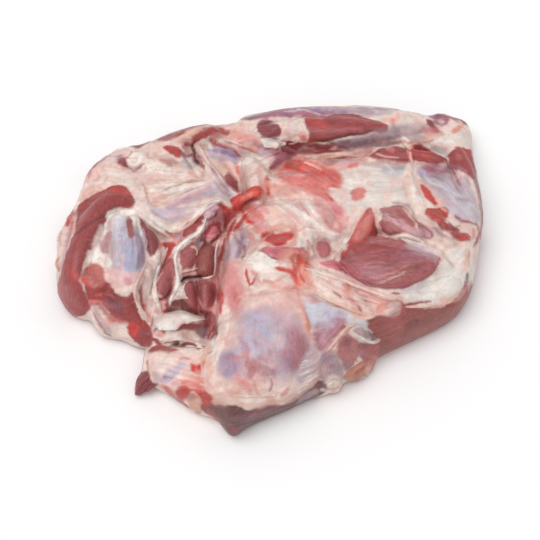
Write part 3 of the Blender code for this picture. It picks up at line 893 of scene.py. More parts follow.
cream patch +1.2: 386,238 396,236 404,233 414,236 424,240 434,244 441,250 438,255 428,250 416,246
404,242 394,240
white 2.4 ~3: 396,240 410,240 424,244
russet patch +2.2 @12: 343,258 351,250 362,244 372,238 382,236 390,240 400,241 412,246
424,251 434,255 440,259 437,265 432,272 424,279 412,285 400,288 388,289 376,287 364,284 356,279 348,271
342,262
red 6 ~7 80%: 352,254 368,250 384,252 392,254
mauve 8 ~9 50%: 400,256 412,256 420,258
dove 5 ~7 75%: 408,246 420,251 434,260
brown 5 ~6 60%: 416,266 408,274 396,280
wine 1.6 60%: 436,267 426,277 412,284 398,287
burgundy fan 9 0.8 ~2 40%: 346,254 372,256 402,256 434,258 | 358,278 378,284 404,282 430,268
mauve fan 7 0.8 40%: 344,258 372,252 404,250 432,256 | 352,272 376,282 404,280 430,266
blush fan 6 0.5 25%: 350,262 376,262 404,262 432,260 | 360,276 380,283 404,280 428,268
salmon 0.8 40% +0.5: 366,279 380,277 394,273 408,266
blush 0.7 60% +0.4: 378,282 392,279 404,273
plum 1.3: 358,281 370,285 384,287
brick patch +1.6 @62: 371,208 374,214 375,224 378,232 372,239 362,245 352,252 345,258 341,257
345,249 350,240 354,230 358,221 364,213
wash 5.5 ~6 80%: 370,214 364,226 356,240
brown 3 50%: 374,228 378,234 370,240
red 3: 350,252 358,246
fascia patch ~6 90%: 402,292 420,286 436,276 446,258 452,246 468,250 472,270 462,292 442,300
410,300
white fan 8 1 60%: 404,292 428,286 448,270 462,254 | 410,300 436,298 458,288 470,270
grey 1 70%: 420,284 436,280 450,276
lilac 3 ~5 50%: 404,290 414,289 424,286
peach 3 80%: 466,250 467,262 464,272
tan 1 50%: 468,250 469,264
white 3.4: 404,296 420,296 438,296
peach 2.6 80%: 440,300 452,298 460,292
plum 1.5: 468,272 467,280 465,289
russet 1.2: 392,294 400,294
brown patch +1.2 @16: 366,320 374,315 384,314 393,317 401,312 402,306 412,307 424,308 436,307
446,305 456,302 463,298 470,282 474,290 460,314 444,328 420,342 396,352 380,360 374,352 370,336
red 3: 446,306 456,302 464,292 467,284
dark 4 ~4 50%: 400,332 412,324 426,320
dark 1.6: 366,320 374,317
russet 6 ~5 50%: 382,322 396,326 394,338
salmon 1.3 +0.6: 410,307 424,307 440,304
burgundy 1.4 -0.8: 398,304 404,305 412,304 422,302 432,301
plum 2.4 ~3 50%: 436,229 446,237
dove 2.4 ~4 50%: 412,243 424,248 438,257
russet 2.2 ~3 65%: 376,160 390,162 406,163
blush 2.2 ~2 +1.5: 376,213 378,224 381,232
mauve 6 ~8 50%: 350,266 366,272 384,276
rose 3 ~4 40%: 457,171 461,179
grey 13 ~14 30%: 370,172 390,180 402,190
ice 9 ~10 35%: 444,186 458,198 470,206
""",
    ),
    Region(
        "knot",
        -25.0,
        # Painted light: the cream ground patch is paler than the fat it stands for, to lift the shade on this
        # stretch.
        # Painted light: the white patch at 297,233 to 298,244 is whiter than the fat, to lift the shade on
        # the slope.
        """
cream patch: 248,204 260,192 262,180 272,172 284,166 296,156 310,158 330,168 342,178 340,200 342,214
348,230 344,250 334,262 318,268 302,276 290,286 264,290 244,288 230,282 220,268 226,246 238,226 244,212
cream 6 80%: 272,178 284,186 298,190
wash patch ~7 @-24: 278,170 290,160 304,157 318,162 332,167 342,176 340,188 330,194 316,195
306,192 294,187 284,184 276,178
blood patch ~12 65%: 284,166 300,158 314,166 330,172 340,180 334,190 316,190 300,184 288,178
blood fan 9 1.2 ~3 35%: 270,178 298,186 326,200 | 298,158 322,168 344,184
blush fan 6 0.6 ~1.6 30%: 268,176 296,184 324,200 | 296,156 322,166 344,182
wash 7 ~7 80%: 266,190 282,190 298,196
wash 7 ~6 75%: 250,204 254,216 258,230
blood_orange 3 70%: 292,161 298,163 306,168
blood 3 45%: 308,168 318,172 328,174 336,175
pink_wash 2.4: 282,172 292,174 304,175
wash 3 80%: 282,182 294,180 312,180 326,180
wash 3: 322,184 332,184
peach 1.1 +0.6: 305,161 312,166 320,170
wash 3.6: 312,190 322,194 330,200 334,208
blood 1.2: 324,193 329,196 332,200
cream 3.6: 332,190 340,194
blush patch ~4 75%: 262,198 276,191 290,191 304,196 312,204 317,214 320,226 310,230
296,228 280,226 268,222 260,212
white 2.4 80% +0.6: 276,200 290,208 300,218 308,224
white fan 7 1.1 60%: 268,204 288,222 306,230 | 292,190 310,206 322,224
salmon fan 8 0.7 55%: 262,210 282,226 300,232 | 292,190 310,206 322,222
rose fan 4 0.6 50%: 262,200 282,216 298,228 | 290,192 306,206 318,222
peach 3 80%: 268,206 276,212 286,218
rose 0.9 80%: 299,202 304,209 308,216
white 2.4 +0.8: 296,212 306,218 316,224 326,231 334,236
white 1.8 80%: 302,198 310,206 314,214
tan 0.8 -0.6: 300,230 306,228 312,228 318,231
pink_wash patch: 314,198 326,200 338,204 347,213 348,226 340,234 330,230 322,218 316,208
rose 4 70%: 334,206 342,214
blush 2.4 60%: 326,212 332,222 338,228
white 3.4 +1.6: 338,234 344,242 346,250
salmon 4 80%: 258,232 268,229 284,228 296,231 290,245 262,243
bright_red patch ~3 -0.8: 261,236 264,232 270,230 276,233 284,231 292,232 294,236 288,241
282,246 274,245 266,242 262,240
burgundy 1.1 ~1.6 70%: 267,236 272,240 278,238 285,239
white patch ~4 90% +2.2: 297,233 306,228 318,229 330,231 340,238 341,250 335,262 331,250
328,240 318,238 312,246 311,258 304,258 298,244
rose patch +0.8: 261,251 268,247 280,248 292,247 302,249 302,256 292,257 284,258 279,261 272,257
266,254
wine 0.9 -1: 261,251 268,255 276,259 280,261
rose patch ~2 85% +0.6: 315,247 320,241 326,241 330,246 329,253 324,257 319,256 316,251
mauve 1.8 ~3 75%: 317,243 324,241 329,247 328,255
rose 2.4 ~3 75%: 307,241 307,249 304,257
pink_wash 1.4 ~2 70%: 310,246 312,254
white patch +1.2: 244,258 252,252 262,253 272,258 282,262 292,261 296,268 288,275 278,280 268,283
260,280 258,272 252,266 242,264
peach fan 6 0.8 50%: 250,256 266,262 290,266 | 252,276 268,280 288,276
tan 0.8: 248,253 254,252 264,253
salmon 6 ~6 80%: 280,262 290,256 300,262 306,272 300,286
dove patch ~5: 239,225 244,228 246,238 244,248 240,256 234,262 226,264 223,260 226,248 231,238
lilac 2.6: 232,248 229,256 226,262
purple 2.2 ~4 80%: 242,236 241,246 238,254 236,260
orchid 2: 247,230 250,240 247,250
mauve 1.4 80%: 245,244 245,252 242,260
salmon 2.4 80%: 249,232 254,240 256,248
rose patch +1.2 @-14: 318,262 332,261 344,262 354,266 360,272 363,280 354,279 342,273 332,269
322,266
russet 4 ~5 75%: 346,266 354,270 360,276
burgundy 1.2 80%: 340,271 350,277 360,281
blush patch ~3 80% +2.2: 302,258 310,255 318,258 321,264 314,267 305,267
wash 4 ~5 50%: 300,232 304,234
wash 4 ~5 50%: 306,192 313,196
white 2.4 ~3 80%: 312,237 323,236
pink_wash 3 ~4 50%: 339,252 343,260
brown 2.4 ~3 70%: 303,151 316,153
""",
    ),
    Region(
        "rope",
        -30.0,
        """
blush patch +1: 302,264 318,268 332,270 345,276 356,281 366,286 380,290 396,296 403,300 400,308
392,314 384,315 372,317 362,319 352,313 340,307 330,304 320,300 312,297 304,290 299,276
cream 7: 314,276 324,284 328,292
white 2 70% +0.6: 308,270 320,276 334,280 350,286
cream 3: 324,300 332,302 338,302
salmon 5 80%: 372,302 384,304 378,312
peach 3.4: 344,306 356,312 368,316
salmon 3 80%: 346,296 354,302 360,308
blush 2.6 +0.8: 352,284 366,290 382,295
russet 1 -1: 332,290 336,293 340,296 342,300
russet 1.2 -1.2: 350,299 355,303 359,307 361,312
salmon 0.9 90% -1: 357,290 366,292 374,297 386,301 398,302
salmon 0.8 60% -0.6: 360,287 374,291 388,296
blood patch: 343,283 347,281 350,285 349,290 345,290
tan 1 -1: 302,290 309,294 316,298 326,302 336,306 346,309
tan fan 5 0.5 ~1.6 30% -0.3: 308,268 334,276 360,288 396,300 | 304,288 326,300 352,312
380,317
white fan 6 1.2 ~2 50% +0.3: 310,266 336,274 362,286 398,300 | 306,286 328,298 352,309
378,314
salmon fan 5 0.7 50%: 316,272 340,282 366,294 392,304 | 310,288 330,300 352,311 376,316
salmon patch ~6 80%: 284,254 294,250 304,254 309,262 310,274 314,284 308,294 298,296 290,292
294,284 288,274
peach patch ~5 85% +0.8: 286,256 296,253 303,258 305,268 303,280 296,284 292,276 288,266
blood 1.9 ~2.6: 275,268 282,270 290,272 296,278
blood 3.4 ~5 80%: 294,254 300,260 298,268 294,274 296,282
brick 1.6 ~2 90%: 303,262 306,270 303,278 308,284
blood fan 7 0.9 ~1.6 75%: 287,254 292,268 294,286 | 305,256 301,268 304,284
peach 2.4 ~3 70%: 304,272 309,279 307,286
salmon fan 5 0.8 ~1.6 60%: 300,270 306,280 312,292 | 309,268 314,278 318,292
plum 4 ~5 45%: 386,306 394,305 397,310 390,313
russet 1.8 ~2 70%: 397,300 403,303
blood_orange fan 5 0.7 ~1.6 50%: 337,288 345,297 351,305 | 345,283 351,292 357,301
russet 4 ~5 70%: 388,317 396,317 402,311 402,304
blood_orange 5 ~6 45%: 301,258 304,270 302,281
""",
    ),
    Region(
        "gash",
        60.0,
        # Painted highlight: the blood_orange stroke at 242,200 to 257,192 is a highlight on the wet blood.
        # Painted shade: the burgundy stroke at 242,207 to 260,199 darkens the inside of the gash.
        """
brick 6: 232,212 240,206 246,200 254,194 260,189
blood patch ~1.4 +1.4: 231,200 238,196 246,192 252,187 260,187 263,192 260,198 252,199 246,202
242,208 238,210 233,206
blood_orange 2.2 90%: 242,200 250,195 257,192
burgundy 2.2 -2: 242,207 247,202 254,200 260,199
pink_wash 3: 254,204 262,208 268,212
brick 3.2: 266,177 269,186 268,195 264,203
peach 2 80%: 270,182 272,192 268,202
blush 1.8 90%: 258,198 264,194 262,184
red patch ~3 -0.4: 215,205 222,204 231,209 237,214 231,222 225,232 220,242 216,238 217,226
214,216
blood 2.4 70%: 222,206 228,209 233,213
bright_red 2.6: 234,232 240,224 243,216
blood 2.6: 243,211 245,218 250,222 254,224
wash 5 ~5 80%: 248,210 256,214 262,220
pink_wash 3.4 80%: 256,220 264,224 272,228
white 1.3 80%: 240,228 242,224 245,228
brick 2.8 ~3: 236,220 229,232 224,246 219,262 218,280
burgundy 1.2: 224,238 220,254 217,270
blood fan 7 0.8 60%: 228,212 240,208 254,204 | 236,234 248,228 262,218
brick 2 80%: 236,228 242,222 246,214
wash 4 ~4 55%: 262,178 265,190 261,201
cream 4 ~5 60%: 263,198 271,202
wash 4 ~5 60%: 262,183 270,186
""",
    ),
    Region(
        "dome",
        -75.0,
        # Painted shade: the front patch at 206,398 to 198,405 darkens the front wall's red muscle as if
        # turned away from the light.
        """
blush patch ~5: 222,264 246,262 262,284 290,284 302,288 314,298 310,320 318,344 322,360 302,382
280,398 250,406 220,402 206,392 206,372 214,350 216,330 214,310 222,298
blush 6 ~8 60%: 250,290 270,288 290,294
wash 4 ~6 70%: 284,289 292,291 300,294
blush 5 ~6 40% +3: 240,302 250,298 264,295 280,293 296,293
beige 4 ~6 45%: 262,286 264,296
white 3 ~4 70%: 248,282 256,290 268,288
pink_wash patch ~8: 222,268 232,262 238,268 240,282 241,296 244,310 240,322 236,316 226,304 220,288
rose patch ~8 20%: 226,270 236,268 241,282 244,298 242,312 234,304 227,290
wash fan 6 1.3 ~3 30%: 222,268 222,288 226,310 | 236,266 238,288 242,312
white patch ~5 90%: 250,262 262,258 274,262 272,272 262,276 254,270
brick 1.5 ~2: 246,270 247,278 249,285 253,281 257,275
salmon 2.4 ~3 80%: 252,272 256,275 259,280
salmon 1.6 ~2.4 70%: 264,280 272,283 280,288
dove patch ~14 @-70: 240,312 262,306 284,312 300,320 306,340 308,358 298,376 276,382
254,378 236,380 220,376 218,358 230,344 236,328
lilac patch ~12 70% @-70: 248,312 262,308 274,318 276,334 266,352 248,352 242,336
orchid patch ~10 60%: 272,306 290,308 302,322 300,336 286,330 274,320
blue 6 ~9 45%: 254,316 264,328 272,340
ice 5 ~7 75%: 272,336 282,342 278,350
mauve patch ~14 70%: 288,330 300,326 310,338 314,352 304,368 288,372 284,356
russet 6 ~10 50%: 296,336 300,352 292,366
mauve 5 ~8 60%: 256,362 270,356 286,352
purple patch ~10 85%: 220,356 232,350 240,360 238,374 226,378 219,370
blue 3 ~5 50%: 236,352 252,346 256,354
purple 5 ~6 55%: 272,372 282,368 288,360
mauve 4 ~5 50%: 240,338 246,350 244,364
russet 3.6 ~4 70%: 246,362 252,370 250,378
russet 3 ~4 50%: 258,366 270,370 274,378
wash 2.4 ~4 55%: 230,360 242,356 250,350
wash 3 ~4 50%: 236,374 244,382 252,386
wash fan 8 0.9 ~2.4 50%: 228,352 236,368 244,392 | 262,356 266,372 268,392
mauve fan 6 1 ~3 25%: 250,318 250,340 252,366 | 294,326 292,346 284,370
ice fan 5 0.9 ~3 25%: 246,316 244,336 246,356 | 284,322 284,340 276,362
cream patch ~8 75%: 206,384 220,378 234,384 246,392 262,386 280,386 296,380 306,384 292,396
276,401 256,405 236,405 218,401 208,395
cream 5 ~6 70%: 218,320 217,340 214,360 212,376
white fan 6 1 ~2.4 60%: 217,304 216,336 208,380 | 234,310 232,336 220,350
beige fan 4 0.7 35%: 219,308 218,336 212,372 | 236,312 232,334 222,348
blush 5 ~6 70%: 212,386 226,390 238,396
white fan 6 0.9 55%: 214,386 240,392 270,392 300,382 | 214,396 240,403 270,402 300,390
tan fan 5 0.5 50%: 216,384 240,388 268,388 | 222,400 244,404 272,402
salmon 2 ~3 60%: 250,378 256,384 258,394
wash 3 ~4 60%: 236,378 244,386 252,396
salmon 1 80%: 254,382 258,394 268,398 278,396
russet 1 80%: 271,380 272,387 270,392
wash 2 85%: 281,396 286,392 289,388
peach 2 80%: 234,404 250,405 268,403 284,401
salmon 3 ~4 80%: 300,298 304,310 307,324 309,336
wash 1.6 70%: 303,304 307,318 310,330
dove patch ~6 @38: 306,352 318,346 327,350 324,364 314,376 302,384 296,378 302,366
plum 2.4 ~3 60%: 322,372 318,380 308,386
white fan 7 0.7 70% +0.4: 300,360 308,358 318,350 | 300,386 314,380 326,370
mauve fan 4 0.6 40%: 302,358 310,354 320,346 | 302,384 314,376 324,366
tan 0.8 70%: 300,390 310,382 320,376
front patch +0.8 @24: 206,398 214,403 224,405 234,405 244,408 256,409 268,406 282,405 296,397
308,389 318,381 328,386 322,394 302,404 282,414 264,424 250,432 236,440 228,436 222,424 214,416 204,411
198,405
burgundy 3.4 ~4 80%: 238,417 250,413 264,409 280,406
plum fan 5 0.6 50%: 222,412 244,414 280,406 | 232,432 252,424 284,410
burgundy 3: 230,426 236,432
wine 2 ~3 70%: 290,400 306,391 318,385
beige 0.9 70%: 286,403 298,395 310,386 318,380
bright_red 3.2: 217,276 217,288 219,300
blood 2.4: 220,290 222,298 220,308 221,314
russet 4 ~6 50%: 247,358 254,368 264,374
beige 5 ~6 55%: 210,397 226,397 238,392
beige 4 ~6 45%: 218,384 232,383 243,387
beige 3 ~4 60%: 268,402 284,400 296,393
blood 3 ~4 60%: 296,276 298,284 294,290
russet 4 ~6 40%: 252,362 260,368 268,376
beige 4 ~6 45%: 214,401 228,401 240,398
russet 3 ~5 45%: 208,402 218,404 228,405
mauve 4 ~6 35%: 256,343 260,351
dove 3 ~4 50%: 298,401 306,396 316,390
wash 4 ~5 35%: 267,358 275,364
cream 2.4 ~3 60%: 237,231 239,238
""",
    ),
    Region(
        "side",
        40.0,
        """
ice patch ~4: 302,298 314,296 324,301 334,307 346,311 358,317 367,322 362,328 352,326 344,322
336,328 326,333 316,330 310,322 305,310
ice 4: 313,308 316,316
lilac 5 ~6 80%: 326,312 334,316 342,314
dove 2: 304,300 310,302 318,302
mauve 4 ~6 70%: 316,328 328,324 342,320
mauve 4 ~6 55%: 314,328 328,330 340,325
fascia 3: 348,316 356,320 352,324
mauve patch ~7 90% +0.6: 314,332 326,331 338,322 345,322 340,332 332,340 325,349 318,349
313,340
orchid fan 5 0.7 50%: 314,344 322,332 334,322 | 324,350 334,338 346,324
russet 2.2: 334,336 340,330 344,324
beige 1.8 +0.8: 326,352 334,343 341,334 348,327 356,324
grey 1.6: 344,324 354,325 364,326 372,332
plum patch ~2.4 75%: 352,329 360,327 368,331 375,337 376,341 368,339 358,335
fascia 1.5 +1: 353,333 359,338 366,341 374,342 378,339
russet patch ~4 90% +1.2 @-50: 337,343 345,334 353,337 359,342 362,350 358,358
352,365 345,371 341,362 336,353
wine 4 ~5 60%: 344,344 350,340
russet patch: 359,343 368,344 376,344 380,350 374,357 364,360 360,354
mauve 2: 360,352 366,354
plum patch ~5 75% @60: 322,353 332,349 339,356 341,364 345,374 343,382 336,390
326,390 321,381 318,370
dove fan 6 0.6 50% +0.4: 316,378 318,364 326,354 338,352 | 336,384 336,372 338,364 342,358
plum fan 5 0.6 60% -0.3: 318,380 320,366 328,356 338,354 | 334,384 334,372 336,364
341,358
fascia 1.8: 320,388 328,389
cream patch ~4 80% +1: 325,383 328,376 335,374 341,379 340,385 334,389 327,388
tan patch ~1.6 +1: 343,378 347,371 353,366 360,362 368,358 375,355 377,364 370,372 360,379 350,383
brick 3.6 ~4 60%: 348,375 358,368 368,362 375,360
mauve 3 ~5 45%: 322,347 332,341
mauve 5 ~6 50%: 318,334 328,334 336,330
plum 5 ~6 50%: 326,356 334,362 338,370
plum 4 ~5 60%: 340,366 348,366
beige 2 ~3 80%: 328,388 338,388
russet 3 ~4 50%: 328,340 334,345
wine 3 ~5 40%: 326,362 332,368
salmon 3 ~4 60%: 305,295 312,299 320,302
""",
    ),
    Region(
        "hollow",
        70.0,
        # Painted light: the pink_wash ground patch is paler than the trough's tissue, to lift the trough's
        # shade.
        # Painted light: the rose patch at 204,224 to 201,232 is lighter than the muscle, to lift the shade it
        # lies in.
        # Painted light: the white strokes at 158,256 to 151,298 and at 159,262 to 152,296 are whiter than the
        # cream band on the trough's left wall, to lift its shade.
        # Painted shade: the black strokes at 180,282 to 206,278 and at 173,345 to 178,342 darken notches.
        # Painted shade: the dark stroke at 196,281 to 202,302 darkens a fold.
        # Painted shadow: the dark stroke at 221,232 to 200,249 is the shadow line under the rose muscle.
        """
pink_wash patch: 150,230 166,240 180,228 200,216 218,204 224,230 218,260 218,300 216,332 208,340 190,338
176,330 160,314 150,312 144,296 158,262
tan 4: 148,300 154,306 162,304
cream 3.8 +0.8: 166,249 158,255 152,264 148,274 145,284 147,296 151,308 152,318
white 6 ~4 +2.5: 158,256 152,268 150,284 151,298
wash 1.6 ~2.4: 150,262 145,271 141,281 139,292 143,302 147,310
white 3.2 +1: 146,262 141,274 136,284 134,294 138,306 143,316 148,322
salmon 2: 143,306 146,314 150,318
cream 2.4: 150,302 156,308 160,304
brick patch ~3 +1: 163,244 168,242 173,243 176,246 173,252 170,258 166,263 163,268 162,262
164,256 165,250
red patch ~2 +1.4 @45: 183,237 183,230 187,222 193,217 199,215 204,216 203,224 198,231
191,236 187,238
russet patch +1.6 @72: 172,259 175,263 176,270 175,280 173,289 169,296 163,296 158,294
156,288 159,280 163,270 167,263
dark 1.7 -1.2: 156,299 163,299 168,294 171,288
brown 2: 168,297 167,304 168,308
russet patch +1.4 @60: 179,249 184,245 190,241 194,243 196,250 197,256 194,264 190,270
185,271 181,269 179,260
peach 1.3 +0.8: 191,247 195,248 197,252
blush 1.8: 182,274 186,271 192,270 197,268
wine 2.4: 200,242 204,240 206,246
rose patch +1.8 @30: 204,224 211,221 219,221 221,230 217,238 210,241 204,238 201,232
salmon 1.2: 206,235 211,237 215,235
dark 2 -0.8: 221,232 214,241 206,245 200,249
brown patch +1.2 @85: 200,249 208,245 214,248 215,262 214,272 208,276 200,276 197,268 198,256
burgundy 1.4: 197,250 196,260 197,272
white 2.5 +1.6: 206,218 204,226 198,234 189,240 181,246 176,252 176,260 178,268 179,276 178,284
177,292 173,298 171,304
fascia 3 +0.8: 178,280 179,288 181,294
black 2 -2: 180,282 184,280 190,278 198,278 206,278
white 1.4 +1: 204,278 210,278 214,275 215,268
russet patch +1.2 @-68: 186,283 192,280 196,286 199,296 202,305 208,311 202,318 193,314
188,304 185,292
dark 1.3 -0.6: 196,281 199,292 202,302
russet patch +1.2 @85: 199,281 208,280 215,284 218,296 214,304 207,308 203,304 200,294
red 4 ~4 60%: 190,288 194,298 200,306
dark patch +0.8 @20: 163,311 168,306 174,300 180,298 186,299 192,306 198,313 204,319 192,317
184,313 176,313 168,314
wash 1.8: 159,308 164,309
dark 2.4: 200,310 206,314 204,320
white 1.5 +0.8: 171,297 170,303
orchid patch ~1 +1.5: 203,212 207,206 213,204 218,206 217,212 214,217 208,218 204,216
fascia 2: 206,213 212,213
purple 0.9 80%: 204,210 209,205 216,203
slate 1.1 -1: 205,218 210,219 215,217 217,212
fascia patch +1.6: 153,326 154,316 162,314 170,314 176,312 182,311 188,314 196,317 204,319 200,322
190,323 182,323 178,327 172,331 164,330 158,326
russet patch ~2: 177,330 181,325 190,323 200,322 208,319 209,326 204,329 196,329 188,331 181,332
plum patch ~2 -1: 189,331 196,328 203,326 208,328 207,335 204,339 198,337 192,333
russet patch ~2: 206,320 210,312 214,315 217,326 217,337 211,341 206,337 209,328
dark 1.1: 216,322 217,334 213,341
white patch: 152,330 158,326 166,330 176,332 184,330 190,333 198,338 205,340 213,341 215,347 212,354
204,359 196,353 186,347 176,349 168,345 158,347 152,340
white 2.8 +0.8: 186,332 192,334 198,338
blood_orange 2.4 ~3: 158,332 162,336
blood 1.6 ~2: 162,329 165,335
salmon 2 ~3 80%: 166,340 172,341
wash 1.6 ~2 80%: 194,345 199,350
fascia 3: 166,334 171,337
plum 2: 154,331 157,328
beige 2 80%: 160,342 168,342
burgundy 1.8 ~1.8 -0.8: 181,346 188,343 196,346
peach 3.6: 202,343 208,347 204,352
beige 1.5: 198,357 205,355 212,351
red 2.2: 150,328 149,335 156,341 162,345
brown 1.4: 150,326 154,318
white 2.6 ~3 90%: 163,249 158,256 153,264
russet 1.8 ~2: 147,268 143,277 140,288 141,300 145,311
lilac 1.8 ~3: 176,238 182,234
dove 2 ~3: 193,236 197,242 198,248
orchid 1.6 ~2 80%: 204,227 211,221
blush 1.2 ~2 90%: 218,240 216,252 215,262
russet 2 ~3 60%: 147,313 151,322
wash 2.4 ~3 70%: 150,330 158,336
brown 2 ~2 60%: 168,347 176,345 184,347
orchid 1.6 ~2: 203,221 210,219 217,219
cream 3.4 ~3 90%: 158,236 164,239 170,240
white 4 ~3 80%: 159,262 154,272 151,282 152,296
pink_wash 2 ~3 60%: 214,318 216,325
black 2.4 ~2: 173,345 178,342
brick 3 ~4 40%: 208,226 212,233
white 2.2 ~2 90%: 206,218 203,225
wash 3 ~3 60%: 148,318 152,323
""",
    ),
    Region(
        "shank",
        80.0,
        """
cream patch: 104,212 118,207 134,207 140,216 148,232 152,256 146,276 138,290 128,296 116,292 106,282
84,272 80,268 88,250 98,232
white patch +1.2: 106,214 112,210 128,209 134,208 138,216 140,226 132,222 120,222 112,224 106,228
ice patch ~7: 110,224 118,219 128,221 130,236 124,246 116,248 110,238
ice 5 ~5 70%: 122,222 120,236 118,248
mauve patch ~4 70%: 105,233 110,232 112,240 110,251 107,254 101,251 99,244 101,238
dove patch ~6: 112,241 122,239 128,243 125,254 123,270 116,274 111,266 110,254
blue 1.6 50%: 124,224 121,242 119,262
blue patch ~4 @-86: 126,240 132,232 139,226 143,238 145,252 144,263 140,271 130,274 123,268
124,254
purple 4 ~6 50%: 139,236 141,250 138,266
ice fan 9 0.8 55% +0.4: 112,226 112,244 114,266 | 139,226 145,246 143,268
purple fan 7 0.6 45% -0.3: 116,226 118,244 120,268 | 138,228 144,246 142,268
purple 0.9 70%: 144,246 144,256 142,266
fascia 2: 134,214 138,224 141,236
plum 0.7 60%: 136,222 138,232 138,240
russet patch: 126,220 130,219 133,225 134,234 132,238 129,238 127,230
blush patch: 109,268 122,272 134,273 143,270 141,280 135,287 127,294 120,295 114,288 107,281
mauve 4 ~5 40%: 124,281 134,283
cream 2 +0.8: 114,288 120,293 128,291 136,284
burgundy patch +1.2 @-60: 138,219 144,224 149,229 154,233 158,238 159,245 155,253 150,257
148,250 147,240 144,232 140,226
purple 1.1 80%: 141,228 145,238 147,250
red patch +1.6 @38: 79,206 90,197 100,192 110,187 120,185 126,188 131,193 134,200 134,206
128,209 118,207 110,210 105,214 105,220 101,230 95,240 89,250 84,258 81,268 80,280 84,292 89,300 92,308
84,314 76,316 68,311 63,302 59,292 58,284 61,276 62,268 66,257 71,246 74,234 77,220
brick 5: 112,191 122,191 129,198
burgundy fan 9 0.8 45%: 130,190 104,196 84,214 72,246 64,286 | 132,204 106,218 94,242 82,266 84,300
russet fan 6 0.8 40%: 128,192 102,200 82,218 70,250 66,290 | 130,204 104,216 90,244 80,268
80,300
dark 1.5 80% -0.6: 74,238 82,231 90,224 99,218 105,215
brick 4 70%: 70,268 76,276 82,276
russet 5 80%: 66,286 74,296 80,306
blush 4 70%: 66,226 63,240 60,254 59,266
mauve 2.4 ~3 60%: 76,210 71,226 68,240 64,256 60,270
mauve 1.2 60%: 73,222 70,236 66,250
tan 1.2 70%: 58,258 58,268 60,274
bright_red patch: 70,209 73,211 72,217 70,224 66,226 64,220 67,214
cream 2: 58,232 60,236
white patch ~2 +1.2: 104,222 107,229 104,236 100,242 99,249 103,254 110,258 112,265 108,268
100,265 94,264 86,267 81,271 82,262 88,252 94,243 100,232
white 4.5 ~4 +1.6: 100,228 96,244 90,262
brick patch ~4 85% +1: 82,270 88,265 95,264 101,266 105,272 106,280 108,286 102,290
94,292 87,290 82,282
blood 3: 83,280 88,286 92,294
red patch +1 @30: 84,286 96,288 108,283 114,289 118,294 126,296 132,292 134,300 137,310 141,318
148,326 152,334 152,344 144,347 134,341 128,334 126,326 118,322 112,316 106,308 100,302 92,304 88,298
brick 4 ~5 80%: 92,290 100,294 106,300
wine 6.5 ~7 70%: 108,298 116,304 120,312
dark fan 5 0.8 50%: 94,296 110,304 126,320 | 122,292 132,304 140,320
wash 2.2: 90,300 96,302 101,302
mauve 3.6 ~4 50%: 94,305 97,314 102,324 109,331
mauve 1.3 80%: 93,312 98,322 104,331
blush 2: 100,306 104,314 109,322 112,330
plum 1.4 80%: 104,332 112,337
cream patch: 112,323 120,322 128,323 129,330 126,334 118,336 111,333
blood patch: 127,325 133,321 139,325 138,331 136,337 131,336 128,331
brick 2.4: 136,320 144,325 150,328
burgundy 3: 140,332 148,334 146,340
orchid 6 ~7 55%: 114,272 124,275 136,276
russet 3.4 ~4 70%: 98,303 106,312 114,322
wash 4 ~5 80%: 110,321 122,322
cream 1.6 ~2: 88,250 85,258 83,266
wash 3 ~4 50%: 70,210 73,220 73,236
russet 3 ~4 50%: 101,306 110,318 121,321
rose 3 ~4 50%: 124,277 130,283
rose 2.6 ~3 50%: 69,212 71,220
""",
    ),
    Region(
        "brisket",
        -10.0,
        """
blush patch: 146,354 156,349 175,351 190,349 204,354 214,360 212,380 210,397 198,393 186,390
172,390 160,386 151,379 146,366
cream 4 ~5: 180,352 188,352 196,354
cream 8 ~8 80%: 158,358 168,360 160,368
russet patch ~3 +1: 148,352 152,347 158,344 166,346 176,349 178,351 170,353 160,352 152,353
rose 1.3 80%: 179,360 184,358 190,360
lilac patch ~4: 160,380 165,371 173,366 184,361 188,365 181,370 175,377 168,383 163,384
purple 2.2 90%: 163,377 169,377 173,374
salmon 5 ~5 70%: 184,376 194,380 200,388
peach 4: 198,360 206,362 212,372
blood patch ~2.4: 191,364 196,366 203,363 206,362 201,368 196,371 192,370
wash 2.6 ~3 70%: 196,370 200,378 204,390
pink_wash 2.6: 172,384 178,383 186,381
brick patch ~4: 175,393 178,388 184,386 190,388 196,388 204,390 213,397 210,403 203,404 199,398
192,392 188,396 184,400 178,399
beige patch ~3 +0.8: 187,398 192,393 198,395 202,402 203,410 198,413 192,409
tan 1.3: 147,360 148,370 150,376
wash 1.8: 160,386 168,389 174,395
russet 1.4: 164,388 172,395 182,402 192,410
burgundy patch +1 @55: 145,371 150,373 152,380 160,384 155,388 149,391 143,397 135,398 137,389
136,380 141,374
white fan 6 0.9 45%: 156,356 180,358 206,366 | 160,376 184,388 210,394
salmon fan 6 0.7 30%: 158,360 182,364 206,372 | 170,388 190,392 210,396
blood 3.6 ~4 65%: 182,384 192,385 200,389
russet 3 ~3 60%: 184,397 196,396
plum 3 ~4 35%: 154,372 160,381
brown 3.4 ~3: 203,405 210,412 219,420
wash 4 ~5 60%: 184,382 196,384
dove 3 ~4 60%: 154,374 160,382
""",
    ),
)


